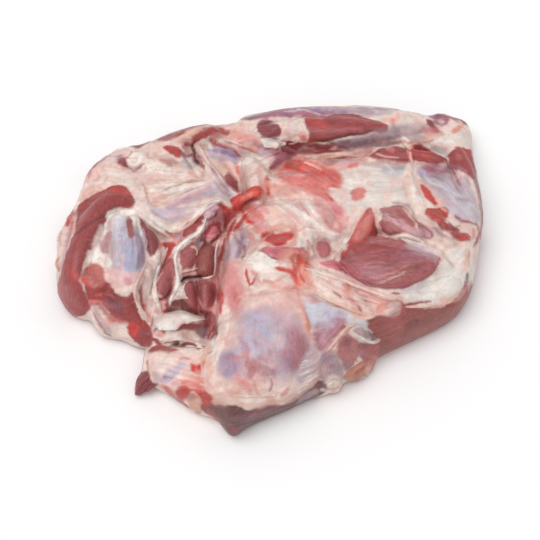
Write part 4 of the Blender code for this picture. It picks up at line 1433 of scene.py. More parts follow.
@dataclass
class Coat:
    """What lies on each point of a surface: colour, feel, rise and fibre direction.

    Attributes:
        colour: linear colour, one row a point.
        feel: weights of muscle, fat and skin.
        rise: millimetres off the meat.
        grain: fibre direction in degrees.
    """

    colour: np.ndarray
    feel: np.ndarray
    rise: np.ndarray
    grain: np.ndarray

    @classmethod
    def bare(cls, tissue: Tissue, grain: np.ndarray) -> "Coat":
        """Starts a coat of one tissue.

        Args:
            tissue: what covers the points.
            grain: the fibre direction at each point.

        Returns:
            The coat.
        """
        colour, feel = (np.tile(row, (len(grain), 1)) for row in (tissue.colour, tissue.feel))
        return cls(colour, feel, np.zeros(len(grain)), grain)

    def lay(self, near: np.ndarray, share: np.ndarray, mark: Mark, angle: float) -> None:
        """Lays a mark over what is there.

        Args:
            near: the points it reaches.
            share: how much of each it covers.
            mark: the mark.
            angle: the fibre direction where the mark gives none.
        """
        veil = (share * mark.cover)[:, None]
        self.colour[near] += veil * (mark.tissue.colour - self.colour[near])
        self.feel[near] += veil * (mark.tissue.feel - self.feel[near])
        self.rise[near] += share * mark.rise
        turned = veil[:, 0] > 0.5
        self.grain[near[turned]] = angle if mark.grain is None else mark.grain

    def over(self, lower: "Coat", share: np.ndarray) -> "Coat":
        """Lays this coat over another.

        Args:
            lower: the other coat.
            share: how much of this one each point shows.

        Returns:
            What both make together.
        """
        veil = share[:, None]
        return Coat(
            lower.colour + veil * (self.colour - lower.colour),
            lower.feel + veil * (self.feel - lower.feel),
            lower.rise + share * (self.rise - lower.rise),
            np.where(share > 0.5, self.grain, lower.grain),
        )


@dataclass(frozen=True)
class Painter:
    """Puts the marks on a surface, and a plain pattern of cuts where the picture doesn't reach.

    Attributes:
        ragged: how far edges wander, in picture steps.
        wander: the noises that they follow.
        uneven: how much less of a fat, a skin or a stroke shows in its thin places.
        lumps: the noises that those follow, one for each mark in turn.
        thin: values of that noise between which a thin place sets in.
        facing: how far a surface looks to the camera where the marks begin, and where they are whole.
        cells: how many cuts of muscle the unseen sides have.
        flat: how much flatter than wide those are.
        bends: how far they bend, in metres, by which noises.
        seam: half the width of the fat between them, in metres.
        seam_noise: how that varies.
        seam_edge: how wide its edge fades, in metres.
        swell: how far the cuts stand off the fat, in millimetres.
        seed: of the unseen pattern.
    """

    ragged: float = 1.1
    wander: Layers = ((1.0, 0.012, 0), (0.5, 0.005, 4), (0.35, 0.0024, 8))
    uneven: float = 0.35
    lumps: Layers = ((1.0, 0.008, 65), (1.0, 0.014, 66), (1.0, 0.005, 67))
    thin: Pair = (-0.1, 0.7)
    facing: Pair = (-0.15, 0.05)
    cells: int = 46
    flat: float = 1.7
    bends: Layers = ((0.012, 0.035, 20), (0.004, 0.011, 30))
    seam: float = 0.004
    seam_noise: Layers = ((0.8, 0.03, 41),)
    seam_edge: float = 0.004
    swell: float = 1.2
    seed: int = 7

    def unseen(self, at: np.ndarray) -> Coat:
        """Makes the pattern of muscles and seams for the unseen sides.

        Args:
            at: the points, in metres.

        Returns:
            Their coat.
        """
        draws = np.random.default_rng(self.seed)
        low, high = at.min(0), at.max(0)
        seeds = low + draws.random((self.cells, 3)) * (high - low)
        muscle = (Tissue.RED, Tissue.RUSSET, Tissue.BURGUNDY, Tissue.MAUVE)
        flesh = (*muscle, Tissue.CREAM, Tissue.BROWN, Tissue.FASCIA, Tissue.RED, Tissue.BLUSH)
        cuts = [flesh[pick] for pick in draws.integers(0, len(flesh), self.cells)]
        angles = draws.uniform(-90, 90, self.cells)
        bent = at + layered(at, self.bends, 3)
        gaps = np.linalg.norm((bent[:, None] - seeds) * (1, 1, self.flat), axis=2)
        order = np.argsort(gaps, axis=1)[:, :2]
        nearest = np.take_along_axis(gaps, order, axis=1)
        own = order[:, 0]
        width = self.seam * (1 + layered(at, self.seam_noise)[:, 0])
        share = ramp(nearest[:, 1] - nearest[:, 0] - width, 0.0, self.seam_edge)
        colours = np.array([cut.colour for cut in cuts])
        feels = np.array([cut.feel for cut in cuts])
        meat = Coat(colours[own], feels[own], np.full(len(at), self.swell), angles[own])
        return meat.over(Coat.bare(Tissue.CREAM, angles[own]), share)

    def paint(self, at: np.ndarray, normals: np.ndarray) -> Coat:
        """Coats points of the meat.

        Args:
            at: the points, in metres.
            normals: the surface's normals there.

        Returns:
            The coat.
        """
        seen = VIEW.picture(at) + self.ragged * layered(at, self.wander, 2)
        coat = Coat.bare(Tissue.CREAM, np.zeros(len(at)))
        patchy = [1 - self.uneven * ramp(layered(at, (lump,))[:, 0], *self.thin) for lump in self.lumps]
        for region in REGIONS:
            for number, mark in enumerate(region.marks):
                near, share = mark.strength(seen)
                if mark.tissue.feel[0] == 0 or isinstance(mark, Brush):
                    share = share * patchy[number % len(patchy)][near]
                coat.lay(near, share, mark, region.grain)
        return coat.over(self.unseen(at), ramp(normals @ VIEW.back, *self.facing))


Socket = bpy.types.NodeSocket
Source = Socket | float | tuple[float, ...]
Outputs = bpy.types.bpy_prop_collection


@dataclass(frozen=True)
class NodeSketch:
    """Short calls for the nodes of one material.

    Attributes:
        tree: the material's node tree.
        span: where most of a noise's values lie.
    """

    tree: bpy.types.NodeTree
    span: Pair = (0.3, 0.7)

    def join(self, source: Source, target: Socket) -> None:
        """Links a socket, or sets a value.

        Args:
            source: the socket or the value.
            target: the socket that takes it.
        """
        if isinstance(source, Socket):
            self.tree.links.new(source, target)
        else:
            target.default_value = source

    def add(self, kind: str, sources: dict[str | int, Source], **settings: str) -> Outputs:
        """Adds a node.

        Args:
            kind: the node's type.
            sources: what its sockets take.
            settings: its settings by name.

        Returns:
            Its outputs.
        """
        node = self.tree.nodes.new(kind)
        for name, value in settings.items():
            setattr(node, name, value)
        for name, source in sources.items():
            self.join(source, node.inputs[name])
        return node.outputs

    def noise(self, place: Socket, look: Three) -> Socket:
        """Adds a noise of a scale, detail and roughness."""
        sources = dict(zip(("Vector", "Scale", "Detail", "Roughness"), (place, *look)))
        return self.add("ShaderNodeTexNoise", sources)["Fac"]

    def scaled(self, value: Socket, low: float, high: float, least: float, most: float) -> Socket:
        """Maps a value from one range to another.

        Args:
            value: the value.
            low: where the result is least.
            high: where it is most.
            least: the result at low.
            most: the result at high.

        Returns:
            The mapped value.
        """
        sources = {"Value": value, "From Min": low, "From Max": high, "To Min": least, "To Max": most}
        return self.add("ShaderNodeMapRange", sources, interpolation_type="SMOOTHSTEP")["Result"]

    def spread(self, value: Socket, least: float, most: float) -> Socket:
        """Maps a noise to a range of values."""
        return self.scaled(value, *self.span, least, most)

    def math(self, kind: str, *values: Source) -> Socket:
        """Combines values, one after the other.

        Args:
            kind: the operation.
            values: the values.

        Returns:
            The result.
        """
        result = values[0]
        for value in values[1:]:
            result = self.add("ShaderNodeMath", {0: result, 1: value}, operation=kind)[0]
        return result

    def mix_value(self, share: Socket, first: Source, second: Source) -> Socket:
        """Blends two values by the share of the second."""
        return self.add("ShaderNodeMix", {0: share, 2: first, 3: second}, data_type="FLOAT")[0]

    def tint(self, share: Socket, colour: Socket, hue: Three) -> Socket:
        """Blends a colour towards a fixed one by a share."""
        return self.add("ShaderNodeMix", {0: share, 6: colour, 7: (*hue, 1.0)}, data_type="RGBA")[2]

    def scale_colour(self, colour: Socket, light: Socket) -> Socket:
        """Makes a colour lighter or darker by a factor."""
        return self.add("ShaderNodeVectorMath", {0: colour, "Scale": light}, operation="SCALE")["Vector"]


@dataclass(frozen=True)
class MeatFinish:
    """The finish of raw veal: fibres in the muscle, lumps in the fat, a wet sheen on the skins.

    A noise has its scale, detail and roughness here, and a light what its noise does to the colour.

    Attributes:
        name: the material's name.
        muscle_roughness: of the cut muscle.
        fat_roughness: of the fat.
        skin_roughness: of the silver skin.
        crumb_roughness: what the crumbs add to that.
        wet: weight of the film of juice on it.
        wet_roughness: how dull that film is.
        glow: how much light goes into the meat.
        glow_reach: how far its red, green and blue go, in units of glow_scale.
        glow_scale: that unit, in metres.
        gloss: level of its reflections.
        bump: how deep the fine relief is, in metres.
        bump_strength: how much of it shows.
        fibre: noise of the fibres.
        thread: noise of the finer fibres.
        lump: noise of the lumps in the fat.
        crumb: noise of the crumbs on them.
        cloud: noise of the light and dark places.
        fibre_light: of the fibres in the muscle.
        skin_light: of the fibres in the skins.
        fat_light: of the lumps in the fat.
        cloud_light: of the light and dark places.
        marble: noise of the fat in the muscle.
        marble_show: the noise's values where that sets in and is whole, and how much of it then shows.
        marble_hue: its colour.
        tints: clouds of blood and of bluish skin on the fat: lumps a metre, threshold, strength, colour.
        tint_noise: detail and roughness of their noises.
        tint_edge: how far above the threshold they are whole.
        tint_skin: how much of them the skins take.
        vein: noise that the thin lines in the fat follow.
        vein_line: how wide they are, in values of the noise, and how much of them shows.
        vein_clouds: values of the clouds' noise between which they set in.
        vein_hue: their colour.
        relief: how deep the muscle's fibres are, the fat's lumps, and lumps all over.
    """

    name: str = "raw_veal_surface"
    muscle_roughness: float = 0.42
    fat_roughness: float = 0.52
    skin_roughness: float = 0.34
    crumb_roughness: Pair = (-0.08, 0.10)
    wet: float = 0.16
    wet_roughness: float = 0.22
    glow: float = 0.08
    glow_reach: Three = (1.0, 0.35, 0.22)
    glow_scale: float = 0.003
    gloss: float = 0.4
    bump: float = 0.0006
    bump_strength: float = 0.55
    fibre: Three = (1.0, 3.0, 0.6)
    thread: Three = (2.3, 2.0, 0.7)
    lump: Three = (210.0, 3.0, 0.55)
    crumb: Three = (620.0, 2.0, 0.6)
    cloud: Three = (70.0, 3.0, 0.6)
    fibre_light: Pair = (0.82, 1.15)
    skin_light: Pair = (0.93, 1.05)
    fat_light: Pair = (0.91, 1.05)
    cloud_light: Pair = (0.88, 1.08)
    marble: Three = (0.55, 4.0, 0.7)
    marble_show: Three = (0.57, 0.70, 0.16)
    marble_hue: Three = (0.70, 0.42, 0.38)
    tints: tuple[tuple[float, float, float, Three], ...] = (
        (85.0, 0.54, 0.40, (0.68, 0.30, 0.25)),
        (38.0, 0.52, 0.36, (0.66, 0.30, 0.26)),
        (80.0, 0.54, 0.16, (0.50, 0.46, 0.53)),
    )
    tint_noise: Pair = (2.6, 0.6)
    tint_edge: float = 0.14
    tint_skin: float = 0.6
    vein: Three = (95.0, 3.0, 0.6)
    vein_line: Pair = (0.03, 0.14)
    vein_clouds: Pair = (0.45, 0.6)
    vein_hue: Three = (0.50, 0.20, 0.17)
    relief: Three = (0.8, 0.7, 0.15)

    def material(self) -> bpy.types.Material:
        """Builds the material.

        Returns:
            The finished material.
        """
        made = bpy.data.materials.new(self.name)
        made.use_nodes = True
        tree = NodeSketch(made.node_tree)
        paint = tree.add("ShaderNodeAttribute", {}, attribute_name="paint")["Color"]
        feel = tree.add("ShaderNodeAttribute", {}, attribute_name="feel")["Color"]
        grain = tree.add("ShaderNodeAttribute", {}, attribute_name="grain")["Vector"]
        place = tree.add("ShaderNodeTexCoord", {})["Object"]
        muscle, fat, skin = tree.add("ShaderNodeSeparateColor", {"Color": feel})[:3]
        fibre, thread = (tree.noise(grain, look) for look in (self.fibre, self.thread))
        lumps, crumbs, clouds = (tree.noise(place, look) for look in (self.lump, self.crumb, self.cloud))

        light = tree.math(
            "MULTIPLY",
            tree.mix_value(muscle, 1.0, tree.spread(fibre, *self.fibre_light)),
            tree.mix_value(fat, 1.0, tree.spread(lumps, *self.fat_light)),
            tree.spread(clouds, *self.cloud_light),
            tree.mix_value(skin, 1.0, tree.spread(fibre, *self.skin_light)),
        )
        colour = tree.scale_colour(paint, light)
        low, high, most = self.marble_show
        marble = tree.scaled(tree.noise(grain, self.marble), low, high, 0.0, most)
        colour = tree.tint(tree.math("MULTIPLY", marble, muscle), colour, self.marble_hue)
        pale = tree.math("ADD", fat, tree.math("MULTIPLY", skin, self.tint_skin))
        for scale, low, most, hue in self.tints:
            cloud = tree.noise(place, (scale, *self.tint_noise))
            share = tree.scaled(cloud, low, low + self.tint_edge, 0.0, most)
            colour = tree.tint(tree.math("MULTIPLY", share, pale), colour, hue)
        middle = tree.math("SUBTRACT", tree.noise(place, self.vein), 0.5)
        vein = tree.scaled(tree.math("ABSOLUTE", middle, 0.0), 0.0, *self.vein_line, 0.0)
        vein = tree.math("MULTIPLY", vein, tree.scaled(clouds, *self.vein_clouds, 0.0, 1.0), pale)
        rough = tree.mix_value(muscle, self.fat_roughness, self.muscle_roughness)
        rough = tree.mix_value(skin, rough, self.skin_roughness)

        in_muscle, in_fat, all_over = self.relief
        stringy = tree.math("MULTIPLY", muscle, in_muscle)
        lumpy = tree.math("ADD", tree.math("MULTIPLY", fat, in_fat), all_over)
        strands = tree.math("MULTIPLY", tree.math("ADD", fibre, thread), stringy)
        height = tree.math("ADD", strands, tree.math("MULTIPLY", tree.math("ADD", lumps, crumbs), lumpy))
        relief = {"Strength": self.bump_strength, "Distance": self.bump, "Height": height}
        finish = {
            "Base Color": tree.tint(vein, colour, self.vein_hue),
            "Roughness": tree.math("ADD", rough, tree.spread(crumbs, *self.crumb_roughness)),
            "Normal": tree.add("ShaderNodeBump", relief)["Normal"],
            "Coat Weight": self.wet,
            "Coat Roughness": self.wet_roughness,
            "Subsurface Weight": self.glow,
            "Subsurface Radius": self.glow_reach,
            "Subsurface Scale": self.glow_scale,
            "Specular IOR Level": self.gloss,
        }
        for name, source in finish.items():
            tree.join(source, made.node_tree.nodes["Principled BSDF"].inputs[name])
        return made


def pick_only(*pieces: bpy.types.Object) -> None:
    """Selects some objects and makes the first one active.

    Args:
        pieces: the objects.
    """
    bpy.ops.object.select_all(action="DESELECT")
    for piece in pieces:
        piece.select_set(True)
    bpy.context.view_layer.objects.active = pieces[0]


def new_piece(name: str, add: Callable[..., set[str]], **settings: float) -> bpy.types.Object:
    """Adds a primitive.

    Args:
        name: its name.
        add: the operator that adds it.
        settings: the operator's settings by name.

    Returns:
        The new object.
    """
    bpy.ops.object.select_all(action="DESELECT")
    add(**settings)
    piece = bpy.context.view_layer.objects.active
    piece.name = name
    return piece


def edit_all(piece: bpy.types.Object, work: Callable[..., set[str]], **settings: float) -> None:
    """Does some work on all of a piece in edit mode.

    Args:
        piece: the object.
        work: the operator that does it.
        settings: the operator's settings by name.
    """
    pick_only(piece)
    bpy.ops.object.mode_set(mode="EDIT")
    bpy.ops.mesh.select_all(action="SELECT")
    work(**settings)
    bpy.ops.object.mode_set(mode="OBJECT")


def finish_with(piece: bpy.types.Object, kind: str, **settings: object) -> None:
    """Applies a modifier.

    Args:
        piece: the object.
        kind: the modifier's type.
        settings: its settings by name.
    """
    pick_only(piece)
    modifier = piece.modifiers.new(kind.lower(), kind)
    for name, value in settings.items():
        setattr(modifier, name, value)
    bpy.ops.object.modifier_apply(modifier=modifier.name)


def points_on(mesh: bpy.types.Mesh) -> np.ndarray:
    """Reads the points of a mesh.

    Args:
        mesh: the mesh.

    Returns:
        Their places and their normals, one row each.
    """
    rows = np.empty((2, len(mesh.vertices), 3))
    mesh.vertices.foreach_get("co", rows[0].ravel())
    mesh.vertex_normals.foreach_get("vector", rows[1].ravel())
    return rows


def move_to(mesh: bpy.types.Mesh, at: np.ndarray) -> None:
    """Moves a mesh's points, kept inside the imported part's box.

    Args:
        mesh: the mesh.
        at: the new places, in metres.
    """
    low, high = (np.array(corner) for corner in CAD_BOX)
    mesh.vertices.foreach_set("co", np.clip(at, low, high).ravel())
    mesh.update()


def dress(mesh: bpy.types.Mesh, coat: Coat, at: np.ndarray, finish: MeatFinish) -> None:
    """Stores a coat on a mesh for its material, and gives it the material.

    Args:
        mesh: the mesh.
        coat: what lies on its points.
        at: the places of its points, in metres.
        finish: what makes the material.
    """
    turn = np.radians(coat.grain)
    level = at @ VIEW.up
    along = at[:, 0] * np.cos(turn) + level * np.sin(turn)
    across = level * np.cos(turn) - at[:, 0] * np.sin(turn)
    depth = at @ VIEW.back
    full = np.ones((len(at), 1))
    grain = np.stack([along / FIBRE_LENGTH, across / FIBRE_WIDTH, depth / FIBRE_WIDTH], axis=1)
    for name, kind, content, rows in (
        ("paint", "FLOAT_COLOR", "color", np.hstack([coat.colour, full])),
        ("feel", "FLOAT_COLOR", "color", np.hstack([coat.feel, full])),
        ("grain", "FLOAT_VECTOR", "vector", grain),
    ):
        mesh.attributes.new(name, kind, "POINT").data.foreach_set(content, rows.ravel())
    mesh.materials.clear()
    mesh.materials.append(finish.material())
    mesh.shade_smooth()


@dataclass
class ShoulderBody:
    """The meat itself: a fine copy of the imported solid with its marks.

    Attributes:
        voxel: how fine the copy is, in metres.
        soften: how many times the copy is smoothed.
        faces: how many triangles it keeps.
        base: height below which a point counts as the underside, in metres.
        away: how much a surface may face the camera and still lose triangles, 1 being straight at it.
        standing: heights between which marks begin to stand off, in metres.
        lumps: height of the small lumps of the fat, in metres.
        lump_noise: the noises that they follow.
        lean_lumps: how much of them other tissue has.
        painter: who puts the marks on.
        finish: its finish.
    """

    voxel: float = 0.00155
    quick_voxel: float = 0.0024
    soften: int = 3
    faces: int = 196000
    base: float = 0.0012
    away: float = 0.4
    standing: Pair = (0.002, 0.008)
    lumps: float = 0.0005
    lump_noise: Layers = ((1.0, 0.0065, 51), (0.6, 0.0034, 52))
    lean_lumps: float = 0.3
    painter: Painter = Painter()
    finish: MeatFinish = MeatFinish()

    def shape(self) -> bpy.types.Object:
        """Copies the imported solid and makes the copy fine.

        Returns:
            The copy.
        """
        pick_only(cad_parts[NODE])
        bpy.ops.object.duplicate()
        piece = bpy.context.view_layer.objects.active
        piece.name = "veal_meat"
        edit_all(piece, bpy.ops.mesh.remove_doubles, threshold=1e-6)
        voxel = self.voxel
        finish_with(piece, "REMESH", mode="VOXEL", voxel_size=voxel)
        finish_with(piece, "SMOOTH", factor=0.5, iterations=self.soften)
        self.thin_hidden(piece)
        return piece

    def thin_hidden(self, piece: bpy.types.Object) -> None:
        """Takes triangles out of the underside and of what is turned away from the camera.

        Args:
            piece: the meat.
        """
        mesh = piece.data
        mesh.calc_loop_triangles()
        triangles = len(mesh.loop_triangles)
        if triangles <= self.faces:
            return
        at, normals = points_on(mesh)
        hidden = (at[:, 2] < self.base) | (normals @ VIEW.back < self.away)
        group = piece.vertex_groups.new(name="hidden")
        group.add(np.flatnonzero(hidden).tolist(), 1.0, "REPLACE")
        keep = self.faces / triangles
        finish_with(piece, "DECIMATE", ratio=keep, vertex_group=group.name, vertex_group_factor=1.0)
        piece.vertex_groups.clear()

    def build(self) -> bpy.types.Object:
        """Makes the meat, paints it and raises its marks.

        Returns:
            The finished piece.
        """
        piece = self.shape()
        mesh = piece.data
        at, normals = points_on(mesh)
        coat = self.painter.paint(at, normals)
        ripple = layered(at, self.lump_noise)[:, 0]
        rise = coat.rise * MM + self.lumps * ripple * (self.lean_lumps + coat.feel[:, 1])
        move_to(mesh, at + normals * (rise * ramp(at[:, 2], *self.standing))[:, None])
        dress(mesh, coat, at, self.finish)
        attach(piece, BODY)
        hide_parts(NODE)
        return piece


class MeatTop:
    """Finds the meat's surface behind a point of the picture."""

    def __init__(self, meat: bpy.types.Object) -> None:
        """Keeps the faces of the finished meat for finding."""
        self.tree = BVHTree.FromObject(meat, bpy.context.evaluated_depsgraph_get())

    def under(self, steps: np.ndarray) -> tuple[np.ndarray, np.ndarray]:
        """Finds the surface under picture points.

        Args:
            steps: the points, in picture steps.

        Returns:
            Places and normals on the meat, one row each.
        """
        places, normals = [], []
        for u, v in steps:
            start, sight = VIEW.ray(float(u), float(v))
            place, normal, _, _ = self.tree.ray_cast(start, sight)
            if place is None:
                place, normal, _, _ = self.tree.find_nearest(start + sight * VIEW.distance)
            places.append(place)
            normals.append(normal)
        return np.array(places), np.array(normals)


@dataclass(frozen=True)
class Strand:
    """A sinew or a fold that lies on the meat, thick in the middle and thin at its ends.

    Attributes:
        tissue: what it is.
        line: where it runs, in picture steps.
        half: half its width, in millimetres.
        thick: half its thickness, in millimetres.
        lift: how far its middle lies above the meat, in millimetres.
        sides: how many faces it has around.
        settle: how many times its run is smoothed.
        uneven: how its size varies.
    """

    tissue: Tissue
    line: str
    half: float
    thick: float = 1.6
    lift: float = 0.6
    sides: int = 12
    settle: int = 3
    uneven: Layers = ((0.25, 0.006, 71),)

    def mesh_on(self, top: MeatTop, name: str) -> bpy.types.Object:
        """Draws a sphere out along the line.

        Args:
            top: the meat that it lies on.
            name: its name.

        Returns:
            The strand.
        """
        path, normals = top.under(smooth_line(points_of(self.line), closed=False, parts=4))
        for rows in (path, normals) * self.settle:
            rows[1:-1] = 0.25 * rows[:-2] + 0.5 * rows[1:-1] + 0.25 * rows[2:]
        rings = max(8, 2 * len(path))
        add = bpy.ops.mesh.primitive_uv_sphere_add
        piece = new_piece(name, add, segments=self.sides, ring_count=rings, radius=1.0)
        ball, _ = points_on(piece.data)
        share = np.arccos(np.clip(-ball[:, 2], -1, 1)) / math.pi
        place = share * (len(path) - 1)
        middle, normal = between(path, place), between(normals, place)
        side = unit(np.cross(between(np.gradient(path, axis=0), place), normal))
        reach = np.maximum(np.hypot(ball[:, 0], ball[:, 1]), 1e-6)
        body = np.sqrt(np.sin(math.pi * np.clip(share, 0, 1))) * (1 + layered(middle, self.uneven)[:, 0]) * MM
        across = ball[:, 0] / reach * body * self.half
        above = ball[:, 1] / reach * body * self.thick + self.lift * body
        move_to(piece.data, middle + side * across[:, None] + unit(normal) * above[:, None])
        return piece


@dataclass(frozen=True)
class Flap:
    """A thin skin that stands off the meat along one side.

    Attributes:
        tissue: what it is.
        root: where it grows from the meat, in picture steps.
        edge: its free edge, in picture steps.
        lift: how far the free edge stands off, in millimetres.
        thick: its thickness, in millimetres.
        ragged: how far the free edge wanders, in millimetres.
        stray: the noise that it follows, in picture steps.
        sunk: how deep the root lies in the meat, in millimetres.
        curl: how much later than evenly it rises.
        columns: how many points it has along the root.
        ranks: how many it has from the root to the edge.
    """

    tissue: Tissue
    root: str
    edge: str
    lift: float = 3.0
    thick: float = 1.4
    ragged: float = 1.2
    stray: Layers = ((1.0, 4.0, 80),)
    sunk: float = 1.0
    curl: float = 1.4
    columns: int = 26
    ranks: int = 7

    def mesh_on(self, top: MeatTop, name: str) -> bpy.types.Object:
        """Lays a grid between the two lines and gives it its thickness.

        Args:
            top: the meat that it grows from.
            name: its name.

        Returns:
            The flap.
        """
        subdivisions = {"x_subdivisions": self.columns - 1, "y_subdivisions": self.ranks - 1}
        piece = new_piece(name, bpy.ops.mesh.primitive_grid_add, **subdivisions, size=1.0)
        flat = points_on(piece.data)[0][:, :2] + 0.5
        column = np.round(flat[:, 0] * (self.columns - 1)) / (self.columns - 1)
        out = flat[:, 1:]
        lines = (smooth_line(points_of(text), closed=False, parts=5) for text in (self.root, self.edge))
        inner, outer = (between(line, column * (len(line) - 1)) for line in lines)
        steps = inner * (1 - out) + outer * out
        stray = self.ragged * out * layered(np.pad(steps, ((0, 0), (0, 1))), self.stray, 3)
        lift = (self.lift * out**self.curl - self.sunk * (1 - out) ** 2) * VIEW.back
        move_to(piece.data, top.under(steps)[0] + (lift + stray) * MM)
        finish_with(piece, "SOLIDIFY", thickness=self.thick * MM, offset=0.0)
        finish_with(piece, "SUBSURF", levels=1, render_levels=1)
        return piece


@dataclass
class LooseParts:
    """A group of strands and flaps that make one piece.

    A row names a tissue and gives the sizes that follow it in a strand or a flap, and the points come after
    a colon. A flap has two lines, its root and its edge, parted by a bar.

    Attributes:
        name: the piece's name.
        rows: the strands and flaps in words.
        own: how much of each part's own tissue shows over the marks.
        shade: how its lightness varies.
        painter: who puts the marks on.
        finish: its finish.
    """

    name: str
    rows: str
    own: float = 0.6
    shade: Layers = ((0.06, 0.004, 90),)
    painter: Painter = Painter()
    finish: MeatFinish = MeatFinish(name="raw_veal_sinew", wet=0.25)

    @cached_property
    def parts(self) -> list[Strand | Flap]:
        """The strands and flaps that the rows name."""
        made: list[Strand | Flap] = []
        for (name, *sizes), points in rows_in(self.rows):
            kind = Flap if "|" in points else Strand
            made.append(kind(Tissue[name.upper()], *points.split("|"), *map(float, sizes)))
        return made

    def build(self, top: MeatTop) -> bpy.types.Object:
        """Makes the parts, joins them and dresses the piece.

        Args:
            top: the meat that they lie on.

        Returns:
            The finished piece.
        """
        made = [part.mesh_on(top, f"{self.name}_{number}") for number, part in enumerate(self.parts)]
        counts = [len(piece.data.vertices) for piece in made]
        pick_only(*made)
        if len(made) > 1:
            bpy.ops.object.join()
        piece = made[0]
        piece.name = self.name
        edit_all(piece, bpy.ops.mesh.normals_make_consistent, inside=False)
        at, normals = points_on(piece.data)
        coat = self.painter.paint(at, normals)
        colours = np.repeat([part.tissue.colour for part in self.parts], counts, axis=0)
        feels = np.repeat([part.tissue.feel for part in self.parts], counts, axis=0)
        own = Coat(colours * (1 + layered(at, self.shade)), feels, coat.rise, coat.grain)
        dress(piece.data, own.over(coat, np.full(len(at), self.own)), at, self.finish)
        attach(piece, BODY)
        return piece


LOOSE_PARTS = (
    LooseParts(
        "hollow_sinews",
        """
white 2.3 1.9: 206,217 204,225 199,233 191,238 184,243 179,248 176,253 175,260 176,267 178,274
white 2.6 1.8: 175,266 177,274 178,282 176,290 172,297 169,304
white 3.6 1.8: 168,247 164,255 160,264 157,274 155,284 155,296 158,305 161,312
blush 2 1.5: 147,261 141,274 136,284 134,294 138,306 143,316 149,323
fascia 1.8 1.2: 221,234 218,243 215,252 215,264 214,276
white 1.3 1.1: 202,278 208,278 215,274
fascia 2 1.2 1: 174,286 176,292 174,300 | 189,281 184,289 189,299
peach 1.2 1: 190,247 195,248 197,252 196,256
blush 1.6 1.2: 181,273 186,271 192,270 198,268
""",
    ),
    LooseParts(
        "fascia_shelf",
        """
fascia 3.5 1.6 1.4: 153,322 157,315 169,312 182,310 190,313 205,318 |
158,330 166,331 175,331 182,325 193,323 206,320
cream 2.6 1.6 1.6: 160,334 172,333 184,330 196,336 212,341 | 164,343 173,341 184,341 198,344 214,348
""",
    ),
    LooseParts(
        "neck_lips",
        """
cream 2.6 2: 134,208 140,215 148,222 156,228 164,233 170,238
cream 2.4 2: 180,231 190,225 198,216 208,208 219,202
cream 2.6 1.2 0.2: 144,169 156,168 170,170 186,172
peach 3 2.2: 183,139 190,134 199,129 206,127
white 2.6 1.8: 112,153 120,150 130,149 135,152
orchid 3.5 1.4 1.4: 203,217 206,208 214,204 | 208,220 213,217 219,208
""",
    ),
    LooseParts(
        "pocket_lips",
        """
cream 2.4 2: 197,144 202,152 206,160 212,168 219,176 225,184
white 3 1.2 1: 260,138 270,138 286,142 | 264,147 273,149 286,145
blush 1.8 1.5: 215,140 225,140 236,143 243,147
salmon 1.4 1.2: 300,138 296,143 288,144
peach 1.7 1.4: 304,158 318,159 332,157 346,155 358,157
""",
    ),
    LooseParts(
        "rope_folds",
        """
cream 2.6 2.2: 303,268 316,272 332,277 348,283 364,289 382,295 396,300
peach 2.2 1.8: 306,288 318,295 332,301 346,307 360,313 374,316
cream 1.8 1.4: 352,294 362,298 372,301 382,304
""",
    ),
    LooseParts(
        "blade_tags",
        """
peach 2.5 1.2 0.8: 404,138 410,142 413,148 | 401,141 405,147 410,150
blush 1.7 1.5: 411,146 410,153 411,160 413,166
cream 2.2 1.6: 384,237 394,238 404,235 416,239 428,246 441,255
cream 1.6 1.4: 405,307 416,307 428,306 444,303
blush 1.7 1.4: 326,352 334,343 341,334 348,327 357,323
fascia 1.6 1.4: 353,332 359,337 366,341 375,343 380,340
cream 2.8 1.8 0.4: 327,387 331,382 336,381 340,386
tan 2.6 2.2 0.8: 344,377 352,370 361,364 372,359
""",
    ),
    LooseParts(
        "rim_shreds",
        """
brick 2.2 1.2 0.2: 73,209 70,214 68,219 68,224
cream 2 1.8 0.8: 65,228 61,233 59,240 61,246
beige 1.8 1.6 0.8: 60,256 57,263 59,271
burgundy 3.2 2.4 0.6: 150,375 144,380 139,386 137,391
burgundy 2.2 2 0.6: 154,384 149,388 145,392
""",
    ),
)


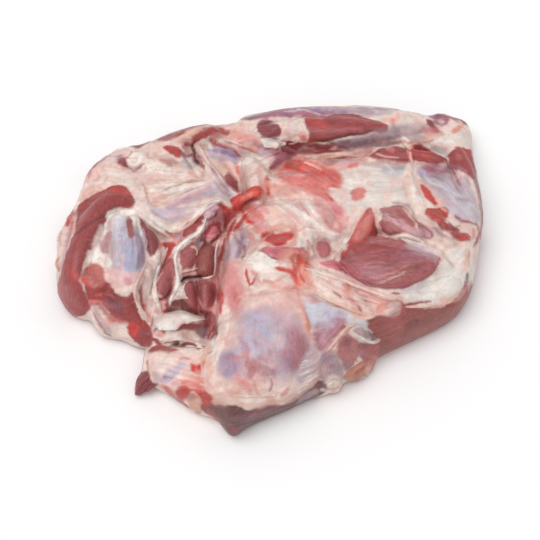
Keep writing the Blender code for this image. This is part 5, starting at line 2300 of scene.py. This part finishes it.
@dataclass
class Studio:
    """Plain pale floor and soft light.

    Attributes:
        floor_size: half the floor's width, in metres.
        floor_tone: how pale it is.
        floor_roughness: how dull it is.
        sky: strength of the light all round.
        key: strength of the soft light from above left.
        key_spread: how wide that light is, in degrees.
        key_turn: where it comes from, as turns about X and Y, in degrees.
    """

    floor_size: float = 4.0
    floor_tone: float = 0.94
    floor_roughness: float = 0.9
    sky: float = 0.64
    key: float = 1.5
    key_spread: float = 50.0
    key_turn: Pair = (10.0, -16.0)

    def build(self) -> None:
        """Adds the floor, the light and the pale surroundings."""
        floor = new_piece("studio_floor", bpy.ops.mesh.primitive_plane_add, size=2 * self.floor_size)
        pale = bpy.data.materials.new("pale_floor")
        pale.use_nodes = True
        shader = pale.node_tree.nodes["Principled BSDF"]
        shader.inputs["Base Color"].default_value = (self.floor_tone,) * 3 + (1.0,)
        shader.inputs["Roughness"].default_value = self.floor_roughness
        floor.data.materials.append(pale)
        data = bpy.data.lights.new("key_light", "SUN")
        data.energy = self.key
        data.angle = math.radians(self.key_spread)
        lamp = bpy.data.objects.new("key_light", data)
        lamp.rotation_euler = (math.radians(self.key_turn[0]), math.radians(self.key_turn[1]), 0.0)
        bpy.context.scene.collection.objects.link(lamp)
        world = bpy.data.worlds.new("pale_room")
        world.use_nodes = True
        sky = world.node_tree.nodes["Background"]
        sky.inputs["Color"].default_value = (1.0, 1.0, 1.0, 1.0)
        sky.inputs["Strength"].default_value = self.sky
        bpy.context.scene.world = world
        bpy.context.scene.view_settings.view_transform = "Standard"


def main() -> None:
    """Builds the studio, the camera and the meat, and notes the sizes."""
    logging.basicConfig(level=logging.INFO, format="%(name)s: %(message)s")
    VIEW.place_camera()
    Studio().build()
    for region in REGIONS:
        LOG.info("%s: %d marks", region.name, len(region.marks))
    meat = ShoulderBody().build()
    top = MeatTop(meat)
    pieces = [meat] + [group.build(top) for group in LOOSE_PARTS]
    for piece in pieces:
        LOG.info("%s: %d faces", piece.name, len(piece.data.polygons))


if __name__ == "__main__":
    main()
